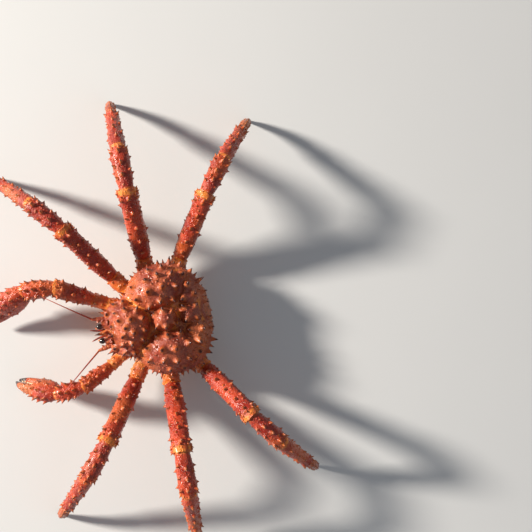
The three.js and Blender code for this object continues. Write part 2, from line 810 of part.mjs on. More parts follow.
// Mouth palps: the outermost pair of mouth limbs, bent down in front of the mouth.
function maxilliped(side) {
  const root = ROOTS.maxilliped;
  const way = rootWay(root, side);
  const knee = stepFrom(rootPlace(root, side), way, 20);
  const upperPart = new Limb({
    from: rootPlace(root, side),
    to: knee,
    fromNormal: way,
    rings: [
      [0, 5.6, 4.6],
      [0.5, 6.2, 4.8],
      [1, 4.4, 3.8],
    ],
    endGap: 0,
  });
  const down = direction(side, 100, -58);
  const lowerPart = new Limb({
    from: stepFrom(knee, down, -4),
    to: stepFrom(knee, down, 17),
    rings: [
      [0, 4.2, 3.6],
      [0.5, 3.9, 3.2],
      [1, 1.7, 1.5],
    ],
    startGap: 0,
    endGap: 0,
  });
  const solid = fused([upperPart.solid(8), lowerPart.solid(8)]);
  addNode(`maxilliped_${side > 0 ? "left" : "right"}`, solid, JOINT_SHELL);
}

// Eyes on short stalks at the flat under the brow.
const EYE_ROOT = { x: 8.8, z: 74 };
const STALK_LENGTH = 8;
const EYE_LENGTH = 8.4;

function eye(side) {
  const label = side > 0 ? "left" : "right";
  const root = vector(side * EYE_ROOT.x, FACE_Y, EYE_ROOT.z);
  const way = direction(side, 80, 6);
  const end = stepFrom(root, way, STALK_LENGTH);
  const stalk = new Limb({
    from: root,
    to: end,
    fromNormal: vector(0, -1, 0),
    toNormal: way,
    rings: [
      [0, 3.4, 3.4],
      [0.5, 3, 3],
      [1, 3.3, 3.3],
    ],
    startGap: GAP,
  });
  addNode(`eyestalk_${label}`, stalk.solid(8), SHELL);
  const ball = new Limb({
    from: end,
    to: stepFrom(end, way, EYE_LENGTH),
    fromNormal: way,
    rings: [
      [0, 3.5, 3.5],
      [0.25, 4.4, 4.4],
      [0.55, 4.3, 4.3],
      [0.82, 3, 3],
      [1, 1.2, 1.2],
    ],
    endGap: 0,
  });
  addNode(`eye_${label}`, ball.solid(10), EYE);
}

// Feelers
const ANTENNA_ROOT = { x: 19.8, z: 73 };
const PEDUNCLE_LENGTH = 20;
const FLAGELLUM_LENGTH = 78;

function antenna(side) {
  const label = side > 0 ? "left" : "right";
  const random = randomFrom(5 + side);
  const root = vector(side * ANTENNA_ROOT.x, FACE_Y, ANTENNA_ROOT.z);
  const way = direction(side, 78, 8);
  const end = stepFrom(root, way, PEDUNCLE_LENGTH);
  const out = direction(side, 52, 14);
  const peduncle = new Limb({
    from: root,
    to: end,
    fromNormal: vector(0, -1, 0),
    toNormal: out,
    rings: [
      [0, 4.4, 4],
      [0.35, 4.2, 3.8],
      [0.7, 3.1, 3],
      [1, 2.3, 2.3],
    ],
    startGap: GAP,
  });
  const thorns = peduncle.spines([[60, 2, 0.25, 0.55, 5.5, 1.7]], side, random);
  addNode(`antenna_${label}_base`, fused([peduncle.solid(8), ...thorns]), SHELL);
  const steps = 12;
  const rings = Array.from({ length: steps + 1 }, (_, i) => {
    const radius = 1.5 - 1.05 * (i / steps) ** 0.8;
    return [i / steps, radius, radius];
  });
  const whip = new Limb({
    from: end,
    to: stepFrom(end, out, FLAGELLUM_LENGTH),
    fromNormal: out,
    rings,
    bow: 9,
    endGap: 0,
  });
  addNode(`antenna_${label}_whip`, whip.solid(6), FEELER);
}

// Antennules: short, bent feelers between the eyes.
function antennule(side) {
  const root = vector(side * 3.6, FACE_Y, 70.2);
  const ahead = direction(side, 84, 6);
  const elbow = stepFrom(root, ahead, 15);
  const rise = direction(side, 74, 38);
  const lower = new Limb({
    from: root,
    to: elbow,
    fromNormal: vector(0, -1, 0),
    rings: [
      [0, 2.3, 2.3],
      [0.5, 1.9, 1.9],
      [1, 1.6, 1.6],
    ],
    startGap: GAP,
    endGap: 0,
  });
  const upper = new Limb({
    from: stepFrom(elbow, rise, -1.6),
    to: stepFrom(elbow, rise, 14),
    rings: [
      [0, 1.4, 1.4],
      [0.6, 1.5, 1.2],
      [1, 0.6, 0.5],
    ],
    startGap: 0,
    endGap: 0,
  });
  addNode(`antennule_${side > 0 ? "left" : "right"}`, fused([lower.solid(6), upper.solid(6)]), FEELER);
}

carapace();
breast();
abdomen();
for (const side of [1, -1]) {
  eye(side);
  antenna(side);
  antennule(side);
  maxilliped(side);
  cheliped(side);
  for (const name of Object.keys(LEG_POSES)) walkingLeg(name, side);
}

// The group's origin is on the floor under the middle of its box.
const box = new THREE.Box3().setFromObject(crab);
const middle = box.getCenter(new THREE.Vector3());
for (const mesh of crab.children) mesh.geometry.translate(-middle.x, -middle.y, 0);

export default crab;
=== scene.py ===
"""Red king crab, life size and still: the looks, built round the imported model.

Sizes are millimetres in the animal's own frame until a piece is finished: it faces -Y, its left
side is +X and the floor is z = 0. A finished piece is in metres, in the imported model's frame.
"""

import logging
import math
from dataclasses import dataclass, field
from enum import Enum
from functools import lru_cache
from typing import Any, Mapping, Sequence

import bmesh
import bpy
import numpy as np
from mathutils import Matrix, Vector, noise


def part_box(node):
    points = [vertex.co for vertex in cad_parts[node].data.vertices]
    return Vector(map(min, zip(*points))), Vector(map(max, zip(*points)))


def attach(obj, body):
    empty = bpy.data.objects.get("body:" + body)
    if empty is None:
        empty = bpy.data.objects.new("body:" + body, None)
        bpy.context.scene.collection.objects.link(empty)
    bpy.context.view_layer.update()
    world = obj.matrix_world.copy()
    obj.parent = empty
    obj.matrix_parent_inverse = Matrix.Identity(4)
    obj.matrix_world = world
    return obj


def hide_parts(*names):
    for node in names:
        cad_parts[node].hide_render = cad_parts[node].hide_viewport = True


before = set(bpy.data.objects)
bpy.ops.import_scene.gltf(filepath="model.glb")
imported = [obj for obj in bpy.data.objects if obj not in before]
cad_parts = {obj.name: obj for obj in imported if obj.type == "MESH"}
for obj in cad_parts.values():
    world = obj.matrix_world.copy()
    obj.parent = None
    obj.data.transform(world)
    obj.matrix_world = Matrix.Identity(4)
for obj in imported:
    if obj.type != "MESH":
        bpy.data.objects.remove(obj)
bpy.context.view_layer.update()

LOG = logging.getLogger("red_king_crab")

Colour = tuple[float, float, float]
RingTable = Sequence[tuple[float, float, float]]
RowTable = Sequence[tuple[float, int, float, float, float, float]]
Stops = list[tuple[float, float, float]]

# Driving sizes, the same as the source's
HALF_LENGTH = 76.0
HALF_WIDTH = 84.0
SHELL_FLOOR_Z = 66.3
MARGIN_Z = 72.0
GAP = 0.3
BREAST_Z = 30.0
BREAST_TOP_Z = SHELL_FLOOR_Z - GAP
SOCKET_Z = 46.0
FACE_Y = -0.945 * HALF_LENGTH
FACE_HALF_WIDTH = 25.0
BROW_Z = 79.5
FOOT_SINK = 0.7
UP = np.array((0.0, 0.0, 1.0))
AHEAD = np.array((0.0, -1.0, 0.0))


class Side(Enum):
    """The animal's own sides."""

    LEFT = 1
    RIGHT = -1

    @property
    def label(self) -> str:
        """The side's word in a node's name."""
        return self.name.lower()


class Slot(Enum):
    """Material slots, which name the finishes."""

    BACK = "back_shell"
    LEG = "leg_shell"
    JOINT = "joint_shell"
    UNDERSIDE = "underside"
    CLAW_TIP = "claw_tip"
    FEELER = "feeler"
    EYE = "eye"


class Mask(Enum):
    """Values that a piece's vertices carry for its material."""

    SPINE = "spine"  # 0 on the shell to 1 at a spine's point
    PALE = "pale"  # underside
    SOFT = "soft"  # skin inside a joint
    HORN = "horn"  # dark tip of a claw
    # DEEP: tints grooves orange on the back and limbs; on the underside, whose groove colour is dark, it is
    # painted shade in the furrows
    DEEP = "deep"  # groove between two lobes


Masks = Mapping[Mask, Any]


# Vectors


def unit(vectors: np.ndarray) -> np.ndarray:
    """Vectors at length 1, along the last axis."""
    return vectors / np.linalg.norm(vectors, axis=-1, keepdims=True)


def direction(side: Side, azimuth: float, elevation: float) -> np.ndarray:
    """A direction, by its degrees from straight out towards the front and over the horizon."""
    a, e = math.radians(azimuth), math.radians(elevation)
    return np.array((side.value * math.cos(a) * math.cos(e), -math.sin(a) * math.cos(e), math.sin(e)))


def turned(vector: np.ndarray, axis: np.ndarray, degrees: float) -> np.ndarray:
    """A vector turned about an axis by so many degrees."""
    return np.array(Matrix.Rotation(math.radians(degrees), 3, Vector(axis)) @ Vector(vector))


def smooth(low: float, high: float, value: np.ndarray) -> np.ndarray:
    """0 under low and 1 over high, with a soft step between them."""
    t = np.clip((value - low) / (high - low), 0.0, 1.0)
    return t * t * (3 - 2 * t)


def ripple(points: np.ndarray, period: float, offset: float = 0.0) -> np.ndarray:
    """Smooth noise from about -1 to 1 in bumps of one period; an offset gives another pattern."""
    scaled = points / period + offset
    return np.array([noise.noise(Vector(p)) for p in scaled]) * 1.6


@dataclass
class Chance:
    """The source's random draws, in the same order, so that the spines fall in the same places."""

    state: int

    def __call__(self) -> float:
        """The next draw, from 0 to 1."""
        self.state = (self.state * 1664525 + 1013904223) % 4294967296
        return self.state / 4294967296

    def many(self, count: int) -> np.ndarray:
        """So many draws."""
        return np.array([self() for _ in range(count)])


# Meshes


def masked_mesh() -> bmesh.types.BMesh:
    """An empty mesh whose vertices can carry the masks.

    Returns:
        The mesh.
    """
    bm = bmesh.new()
    for mask in Mask:
        bm.verts.layers.float.new(mask.value)
    return bm


@dataclass(frozen=True)
class Form:
    """A closed tube of rings with a vertex in the middle of each end."""

    mesh: bmesh.types.BMesh
    ring: np.ndarray  # -1 at the first end's middle, and the number of rings at the last one's
    turn: np.ndarray
    rings: int

    @property
    def middle(self) -> np.ndarray:
        """Which vertices are the middle of an end."""
        return (self.ring < 0) | (self.ring >= self.rings)


@lru_cache(maxsize=None)
def tube(sides: int, rings: int) -> Form:
    """A tube with the vertices' masks.

    Args:
        sides: Vertices in a ring.
        rings: Rings, at least 2.

    Returns:
        The form, of radius 1 and length 1.
    """
    bm = masked_mesh()
    bmesh.ops.create_cone(bm, cap_ends=True, cap_tris=True, segments=sides, radius1=1, radius2=1, depth=1)
    lengthwise = [edge for edge in bm.edges if abs(edge.verts[0].co.z - edge.verts[1].co.z) > 0.5]
    if rings > 2:
        bmesh.ops.subdivide_edges(bm, edges=lengthwise, cuts=rings - 2)
    for edge in bm.edges:
        edge.smooth = not all(vert.co.z < -0.49 and vert.co.xy.length > 0.5 for vert in edge.verts)
    places = np.array([vert.co[:] for vert in bm.verts])
    ring = np.rint((places[:, 2] + 0.5) * (rings - 1)).astype(int)
    middle = np.hypot(places[:, 0], places[:, 1]) < 0.5
    ring[middle & (ring == 0)] = -1
    ring[middle & (ring == rings - 1)] = rings
    return Form(bm, ring, np.arctan2(places[:, 1], places[:, 0]), rings)


@lru_cache(maxsize=None)
def globe(sides: int, rings: int) -> Form:
    """A sphere whose rings run from pole to pole.

    Args:
        sides: Vertices in a ring.
        rings: Steps from pole to pole.

    Returns:
        The form; ring 0 and the last ring are the poles.
    """
    bm = masked_mesh()
    bmesh.ops.create_uvsphere(bm, u_segments=sides, v_segments=rings, radius=1)
    places = np.array([vert.co[:] for vert in bm.verts])
    polar = np.arccos(np.clip(places[:, 2], -1, 1)) / math.pi
    return Form(bm, np.rint(polar * rings).astype(int), np.arctan2(places[:, 1], places[:, 0]), rings)


@dataclass
class Piece:
    """A piece under construction: closed parts joined in one mesh."""

    name: str
    parts: bmesh.types.BMesh = field(init=False)
    scratch: bpy.types.Mesh = field(init=False)

    def __post_init__(self) -> None:
        """Starts the mesh, with the masks."""
        self.parts = masked_mesh()
        self.scratch = bpy.data.meshes.new(f"{self.name}.part")

    def add(self, form: Form, points: np.ndarray, masks: Masks | None = None) -> None:
        """Adds a closed part.

        Args:
            form: The part's mesh.
            points: A place for each of its vertices.
            masks: Values for its vertices, one each or one for all; the others are 0.
        """
        form.mesh.to_mesh(self.scratch)
        self.scratch.vertices.foreach_set("co", points.astype(np.float32).ravel())
        for mask in Mask:
            values = np.broadcast_to((masks or {}).get(mask, 0.0), len(points)).astype(np.float32)
            self.scratch.attributes[mask.value].data.foreach_set("value", values)
        self.parts.from_mesh(self.scratch)

    def make(self, finish: "Finish", node: str) -> None:
        """Makes the object and says what it stands for.

        Args:
            finish: Its finish.
            node: The node that it stands for.
        """
        bmesh.ops.recalc_face_normals(self.parts, faces=self.parts.faces)
        for face in self.parts.faces:
            face.smooth = True
        mesh = bpy.data.meshes.new(self.name)
        self.parts.to_mesh(mesh)
        self.parts.free()
        bpy.data.meshes.remove(self.scratch)
        points = np.empty(len(mesh.vertices) * 3, np.float32)
        mesh.vertices.foreach_get("co", points)
        mesh.vertices.foreach_set("co", metres(points.reshape(-1, 3)).astype(np.float32).ravel())
        mesh.materials.append(finish.material())
        made = bpy.data.objects.new(self.name, mesh)
        bpy.context.collection.objects.link(made)
        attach(made, "root")
        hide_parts(node)
        LOG.info("%s: %d faces for %s", self.name, len(mesh.polygons), node)


def packed_origin() -> np.ndarray:
    """Where the animal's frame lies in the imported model's, read from its breast and an eyestalk.

    Returns:
        The origin, in millimetres.
    """
    low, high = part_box("breast")
    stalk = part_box("eyestalk_left")[1]
    return np.array(((low.x + high.x) * 500, stalk.y * 1000 - (FACE_Y - GAP), 0.0))


ORIGIN = packed_origin()


def metres(points: np.ndarray) -> np.ndarray:
    """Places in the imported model's frame, in metres."""
    return (points + ORIGIN) / 1000


# Finishes


class Graph:
    """Adds nodes to a tree; a value that is a socket is linked."""

    def __init__(self, tree: bpy.types.NodeTree) -> None:
        """Keeps the tree."""
        self.tree = tree

    def put(self, socket: bpy.types.NodeSocket, value: Any) -> None:
        """Links a socket, or sets it.

        Args:
            socket: The input.
            value: A socket to link, or a value to set.
        """
        if isinstance(value, bpy.types.NodeSocket):
            self.tree.links.new(value, socket)
        elif isinstance(value, tuple) and len(value) == 3 and socket.type == "RGBA":
            socket.default_value = (*value, 1.0)
        else:
            socket.default_value = value

    def add(self, kind: str, sockets: dict[str | int, Any] | None = None, **settings: Any) -> bpy.types.Node:
        """Adds a node.

        Args:
            kind: Its type, without the leading word.
            sockets: Values for its inputs, by name or number.
            **settings: Its own properties.

        Returns:
            The node.
        """
        node = self.tree.nodes.new(f"ShaderNode{kind}")
        for name, value in settings.items():
            setattr(node, name, value)
        for key, value in (sockets or {}).items():
            self.put(node.inputs[key], value)
        return node

    def mix(self, factor: Any, first: Any, second: Any) -> bpy.types.NodeSocket:
        """A mix of two colours; the factor is the second one's share."""
        return self.add("Mix", {0: factor, 6: first, 7: second}, data_type="RGBA").outputs[2]

    def sum(self, kind: str, first: Any, second: Any) -> bpy.types.NodeSocket:
        """A sum of two values, of the kind that a Math node names."""
        return self.add("Math", {0: first, 1: second}, operation=kind).outputs[0]

    def step(self, value: Any, low: float, high: float, least: Any = 0.0,
             most: Any = 1.0) -> bpy.types.NodeSocket:
        """A soft step from one value to another."""
        sockets = {0: value, 1: low, 2: high, 3: least, 4: most}
        return self.add("MapRange", sockets, interpolation_type="SMOOTHSTEP").outputs[0]

    def mask(self, mask: Mask) -> bpy.types.NodeSocket:
        """A mask of the piece's vertices."""
        return self.add("Attribute", attribute_name=mask.value).outputs["Fac"]

    def noise(self, scale: Any, detail: float = 3.0, rough: float = 0.55) -> bpy.types.NodeSocket:
        """Noise over the piece's own coordinates, scaled per metre.

        Args:
            scale: Waves per metre.
            detail: How many finer layers.
            rough: How strong they are.

        Returns:
            The noise, from 0 to 1.
        """
        place = self.add("TexCoord").outputs["Object"]
        node = self.add("TexNoise", {"Vector": place, "Scale": scale, "Detail": detail, "Roughness": rough})
        return node.outputs["Fac"]

    def cells(self, scale: Any, feature: str = "F1") -> bpy.types.NodeSocket:
        """Distance to scattered points over the piece's own coordinates, scaled per metre."""
        place = self.add("TexCoord").outputs["Object"]
        return self.add("TexVoronoi", {"Vector": place, "Scale": scale}, feature=feature).outputs["Distance"]

    def surface(self, sockets: dict[str, Any]) -> None:
        """Adds the shader that the tree ends in."""
        shader = self.add("BsdfPrincipled", sockets)
        self.add("OutputMaterial", {"Surface": shader.outputs[0]})


def new_group(name: str, inputs: dict[str, str],
              output: tuple[str, str]) -> tuple[bpy.types.NodeTree, Graph, Any, Any]:
    """Starts a node group.

    Args:
        name: Its name.
        inputs: Socket types by name.
        output: Name and type of its output.

    Returns:
        The group, its graph, its input sockets and its output socket.
    """
    group = bpy.data.node_groups.new(name, "ShaderNodeTree")
    for label, kind in inputs.items():
        group.interface.new_socket(label, in_out="INPUT", socket_type=f"NodeSocket{kind}")
    group.interface.new_socket(output[0], in_out="OUTPUT", socket_type=f"NodeSocket{output[1]}")
    given = group.nodes.new("NodeGroupInput")
    result = group.nodes.new("NodeGroupOutput")
    return group, Graph(group), given.outputs, result.inputs[0]


SHELL_COLOURS = ("Light", "Dark", "Speck", "Groove", "Foot", "Point", "Pale", "Skin", "Horn")


@lru_cache(maxsize=None)
def shell_colour() -> bpy.types.NodeTree:
    """The colour of shell: blotches, grooves (painted shade on the underside), spines (their dark points
    partly painted shade), pale underside, skin and horn.

    Returns:
        The group, made once.
    """
    inputs = {**{name: "Color" for name in SHELL_COLOURS}, "Blotch": "Float"}
    group, g, given, result = new_group("shell_colour", inputs, ("Color", "Color"))
    broad = g.step(g.noise(given["Blotch"], 4.0, 0.6), 0.4, 0.6)
    fine = g.step(g.noise(260.0, 3.0, 0.6), 0.35, 0.7)
    base = g.mix(g.sum("ADD", g.sum("MULTIPLY", broad, 0.7), g.sum("MULTIPLY", fine, 0.3)), given["Dark"],
                 given["Light"])
    base = g.mix(g.step(g.noise(15.0, 2.0), 0.46, 0.66, 0.0, 0.42), base, given["Foot"])
    specks = g.sum("MULTIPLY", g.step(g.cells(380.0), 0.26, 0.12), g.step(g.noise(160.0), 0.42, 0.6))
    base = g.mix(g.sum("MULTIPLY", specks, 0.6), base, given["Speck"])
    # grooves take the finish's groove colour: an orange tint on the back and limbs, painted shade on the
    # underside, where it is dark
    patchy = g.step(g.noise(70.0), 0.38, 0.58, 0.25, 0.95)
    deep = g.sum("MULTIPLY", g.step(g.mask(Mask.DEEP), 0.0, 0.5), patchy)
    base = g.mix(deep, base, given["Groove"])
    spine = g.mask(Mask.SPINE)
    ragged = g.sum("ADD", spine, g.sum("MULTIPLY", g.sum("SUBTRACT", g.noise(300.0), 0.5), 0.3))
    base = g.mix(g.sum("MULTIPLY", g.step(ragged, 0.2, 0.7), 0.75), base, given["Foot"])
    # the dark points reach over the top of each spine: partly real dark horn, partly painted shade for the
    # spine's shaded side and cast shadow
    base = g.mix(g.step(ragged, 0.55, 0.8), base, given["Point"])
    pale = g.sum("MULTIPLY", g.mask(Mask.PALE), g.step(g.noise(70.0, 4.0), 0.25, 0.6, 0.55, 1.0))
    base = g.mix(pale, base, given["Pale"])
    base = g.mix(g.mask(Mask.SOFT), base, given["Skin"])
    scuffs = g.sum("SUBTRACT", g.noise(190.0, 5.0, 0.65), 0.5)
    worn = g.sum("ADD", g.mask(Mask.HORN), g.sum("MULTIPLY", scuffs, 0.7))
    base = g.mix(g.step(worn, 0.12, 0.5, 0.0, 0.65), base, given["Dark"])
    base = g.mix(g.step(worn, 0.38, 0.78), base, given["Horn"])
    g.put(result, base)
    return group


@lru_cache(maxsize=None)
def shell_height() -> bpy.types.NodeTree:
    """The height of shell: pimples, pits and a fine grain.

    Returns:
        The group, made once.
    """
    inputs = {"Pimples": "Float", "Grain": "Float"}
    group, g, given, result = new_group("shell_height", inputs, ("Height", "Float"))
    pimples = g.step(g.cells(given["Pimples"], "SMOOTH_F1"), 0.45, 0.1)
    uneven = g.sum("MULTIPLY", pimples, g.step(g.noise(140.0), 0.35, 0.6))
    grain = g.sum("MULTIPLY", g.noise(given["Grain"], 4.0, 0.65), 0.55)
    swell = g.sum("MULTIPLY", g.noise(150.0, 2.0), 0.8)
    pits = g.sum("MULTIPLY", g.step(g.cells(900.0), 0.0, 0.22), 0.18)
    raised = g.sum("ADD", g.sum("MULTIPLY", uneven, 0.9), grain)
    g.put(result, g.sum("ADD", raised, g.sum("ADD", swell, pits)))
    return group


@lru_cache(maxsize=None)
def wet_film() -> bpy.types.NodeTree:
    """How rough a wet shell is: smooth where water lies, duller between.

    Returns:
        The group, made once.
    """
    group, g, given, result = new_group("wet_film", {"Wet": "Float", "Dry": "Float"}, ("Roughness", "Float"))
    patches = g.step(g.noise(55.0, 5.0, 0.6), 0.4, 0.6)
    beads = g.step(g.cells(330.0), 0.3, 0.16)
    dryness = g.sum("SUBTRACT", patches, g.sum("MULTIPLY", beads, 0.6))
    g.put(result, g.step(dryness, 0.0, 1.0, given["Wet"], given["Dry"]))
    return group


def new_material(name: str) -> tuple[bpy.types.Material, Graph]:
    """Starts a material.

    Args:
        name: Its name.

    Returns:
        The material with an empty tree, and its graph.
    """
    made = bpy.data.materials.new(name)
    made.use_nodes = True
    made.node_tree.nodes.clear()
    return made, Graph(made.node_tree)


@dataclass(frozen=True)
class Finish:
    """The finish of one material slot."""

    slot: Slot

    def material(self) -> bpy.types.Material:
        """The material, made once."""
        raise NotImplementedError


@dataclass(frozen=True)
class ShellFinish(Finish):
    """Finish of a piece of shell."""

    light: Colour
    dark: Colour
    speck: Colour = (0.74, 0.40, 0.28)
    groove: Colour = (0.80, 0.24, 0.035)
    foot: Colour = (0.62, 0.19, 0.06)
    # dark points of the spines: partly their real dark horn, partly painted shade standing in for their
    # shaded sides and cast shadows
    point: Colour = (0.085, 0.02, 0.013)
    pale: Colour = (0.78, 0.50, 0.30)
    skin: Colour = (0.74, 0.36, 0.14)
    horn: Colour = (0.035, 0.02, 0.015)
    blotch: float = 34.0
    pimples: float = 300.0
    grain: float = 900.0
    bump: float = 1.0
    wet: float = 0.22
    dry: float = 0.45
    coat: float = 0.08
    coat_roughness: float = 0.12
    scatter: float = 0.05

    @lru_cache(maxsize=None)
    def material(self) -> bpy.types.Material:
        """The material, made once.

        Returns:
            The material.
        """
        made, g = new_material(f"{self.slot.value}_finish")
        values = {label: getattr(self, label.lower()) for label in (*SHELL_COLOURS, "Blotch")}
        colour = g.add("Group", values, node_tree=shell_colour())
        height = g.add("Group", {"Pimples": self.pimples, "Grain": self.grain}, node_tree=shell_height())
        film = g.add("Group", {"Wet": self.wet, "Dry": self.dry}, node_tree=wet_film())
        bump = g.add("Bump", {"Strength": self.bump, "Distance": 0.0008, "Height": height.outputs[0]})
        g.surface({
            "Base Color": colour.outputs[0], "Roughness": film.outputs[0], "Normal": bump.outputs[0],
            "Coat Weight": self.coat, "Coat Roughness": self.coat_roughness,
            "Subsurface Weight": self.scatter, "Subsurface Radius": (0.006, 0.0022, 0.0012),
            "Subsurface Scale": 1.0})
        return made


@dataclass(frozen=True)
class EyeFinish(Finish):
    """Finish of an eye: near black, glossy and finely faceted."""

    dark: Colour = (0.006, 0.004, 0.004)
    brown: Colour = (0.035, 0.014, 0.008)
    facets: float = 3200.0

    @lru_cache(maxsize=None)
    def material(self) -> bpy.types.Material:
        """The material, made once.

        Returns:
            The material.
        """
        made, g = new_material(f"{self.slot.value}_finish")
        colour = g.mix(g.step(g.noise(300.0), 0.4, 0.7), self.dark, self.brown)
        rough = g.step(g.noise(500.0), 0.3, 0.7, 0.06, 0.16)
        bump = g.add("Bump", {"Strength": 0.25, "Distance": 0.0001, "Height": g.cells(self.facets)})
        g.surface({"Base Color": colour, "Roughness": rough, "Normal": bump.outputs[0],
                   "Coat Weight": 1.0, "Coat Roughness": 0.03})
        return made


BACK_SHELL = ShellFinish(Slot.BACK, light=(0.52, 0.118, 0.05), dark=(0.27, 0.036, 0.018),
                         foot=(0.62, 0.15, 0.03), bump=1.2)
LEG_SHELL = ShellFinish(Slot.LEG, light=(0.55, 0.062, 0.02), dark=(0.27, 0.014, 0.006),
                        foot=(0.66, 0.17, 0.035), point=(0.30, 0.08, 0.03), blotch=26.0, bump=1.3)
JOINT_SHELL = ShellFinish(Slot.JOINT, light=(0.76, 0.19, 0.03), dark=(0.50, 0.07, 0.018),
                          foot=(0.80, 0.34, 0.07), blotch=40.0)
# the underside's groove colour is darker than the plate: painted shade in its furrows
UNDERSIDE = ShellFinish(Slot.UNDERSIDE, light=(0.70, 0.40, 0.20), dark=(0.55, 0.22, 0.10),
                        groove=(0.40, 0.11, 0.035), foot=(0.66, 0.24, 0.08), point=(0.34, 0.10, 0.04))
CLAW_TIP = ShellFinish(Slot.CLAW_TIP, light=(0.52, 0.12, 0.045), dark=(0.30, 0.05, 0.025),
                       foot=(0.62, 0.20, 0.06), blotch=60.0)
FEELER = ShellFinish(Slot.FEELER, light=(0.48, 0.06, 0.035), dark=(0.30, 0.03, 0.02), bump=0.3, blotch=120.0)
EYE = EyeFinish(Slot.EYE)


# Skins


class Skin:
    """A surface with two coordinates, which thorns and granules grow from."""

    steps = (1.0, 1.0)

    def at(self, u: np.ndarray, v: np.ndarray) -> np.ndarray:
        """Places on the surface."""
        raise NotImplementedError

    def ways(self, u: np.ndarray, v: np.ndarray) -> np.ndarray:
        """The directions that spines grow in."""
        raise NotImplementedError

    def spans(self, u: np.ndarray, v: np.ndarray) -> tuple[np.ndarray, np.ndarray]:
        """How many millimetres a unit of each coordinate is.

        Args:
            u: First coordinate of each place.
            v: Second coordinate.

        Returns:
            Millimetres for a unit of the first, and of the second.
        """
        du, dv = self.steps
        along = np.linalg.norm(self.at(u + du, v) - self.at(u - du, v), axis=1) / (2 * du)
        across = np.linalg.norm(self.at(u, v + dv) - self.at(u, v - dv), axis=1) / (2 * dv)
        return np.maximum(along, 1e-6), np.maximum(across, 1e-6)


@dataclass(frozen=True)
class Thorn:
    """A kind of spine: its skirt runs out into the shell and its sides are hollow."""

    sides: int
    rings: int
    power: float  # how hollow the sides are
    hook: float = 0.0  # how far the point bends over, as a share of the height
    sink: float = 0.15  # how far the skirt's edge is sunk

    def grow(self, piece: Piece, skin: Skin, places: np.ndarray, heights: np.ndarray, reaches: np.ndarray,
             masks: Masks | None = None) -> None:
        """Grows spines from a skin.

        Args:
            piece: The piece that they join.
            skin: The surface.
            places: Both coordinates of each spine.
            heights: Their heights.
            reaches: How far their skirts run.
            masks: Values for their vertices besides the spine mask.
        """
        if not len(places):
            return
        form = tube(self.sides, self.rings)
        first = form.ring < 0
        rho = 1 - (np.clip(form.ring, 0, self.rings) / self.rings) ** 1.1
        rho[first] = 0
        u, v = places[:, 0], places[:, 1]
        along, across = skin.spans(u, v)
        phase = (u * 7.3 + v * 3.1)[:, None]
        wobble = 1 + 0.1 * np.sin(3 * form.turn[None] + phase) * rho
        out = reaches[:, None] * rho[None] * wobble
        du = out * np.cos(form.turn) / along[:, None]
        dv = out * np.sin(form.turn) / across[:, None]
        ground = skin.at((u[:, None] + du).ravel(), (v[:, None] + dv).ravel())
        ground = ground.reshape(len(places), len(rho), 3)
        share = (1 - rho) ** self.power
        lift = heights[:, None] * share[None]
        lift[:, form.ring == 0] = -self.sink
        lift[:, first] = -1.8
        ways = skin.ways(u, v)
        lean = np.array((0.0, 1.0, 0.25)) * self.hook
        bend = heights[:, None, None] * (share**2)[None, :, None] * lean
        bend[:, first] = 0
        points = ground + lift[..., None] * ways[:, None, :] + bend
        tip = np.where(first, 0.0, 1 - rho)
        for one in points:
            piece.add(form, one, {Mask.SPINE: tip, **(masks or {})})


@dataclass(frozen=True)
class Spike:
    """A spine that stands on its own root instead of running out into a skin."""

    length: float
    radius: float
    sides: int = 10
    rings: int = 7
    flare: float = 0.5
    root: float = 3.0
    bend: float = 0.0
    flat: float = 1.0

    def add(self, piece: Piece, place: np.ndarray, way: np.ndarray,
            masks: Masks | None = None, toward: np.ndarray | None = None) -> None:
        """Adds the spine.

        Args:
            piece: The piece that it joins.
            place: Where it leaves the shell.
            way: Its direction.
            masks: Values besides the spine mask.
            toward: The direction that its point bends to.
        """
        form = tube(self.sides, self.rings)
        way = unit(way)
        t = np.clip(form.ring, 0, self.rings) / self.rings
        t = t**1.2
        radius = self.radius * ((1 - t) ** 0.9 + self.flare * np.exp(-t / 0.12))
        radius[form.middle] = 0
        across = unit(np.cross(way, UP if abs(way[2]) < 0.9 else np.array((0.0, 1.0, 0.0))))
        upper = np.cross(across, way)
        reach = t * (self.length + self.root) - self.root
        points = place + reach[:, None] * way
        points += (radius * np.cos(form.turn))[:, None] * across
        points += (radius * self.flat * np.sin(form.turn))[:, None] * upper
        if toward is not None:
            points += (self.bend * self.length * np.clip(reach / self.length, 0, 1) ** 2)[:, None] * toward
        tip = np.clip(reach / self.length, 0, 1)
        piece.add(form, points, {Mask.SPINE: 0.15 + 0.85 * tip, **(masks or {})})


SECTION_POWER = 2 / 2.35


def squared(values: np.ndarray) -> np.ndarray:
    """A circle's coordinate made a little squarer."""
    return np.sign(values) * np.abs(values) ** SECTION_POWER


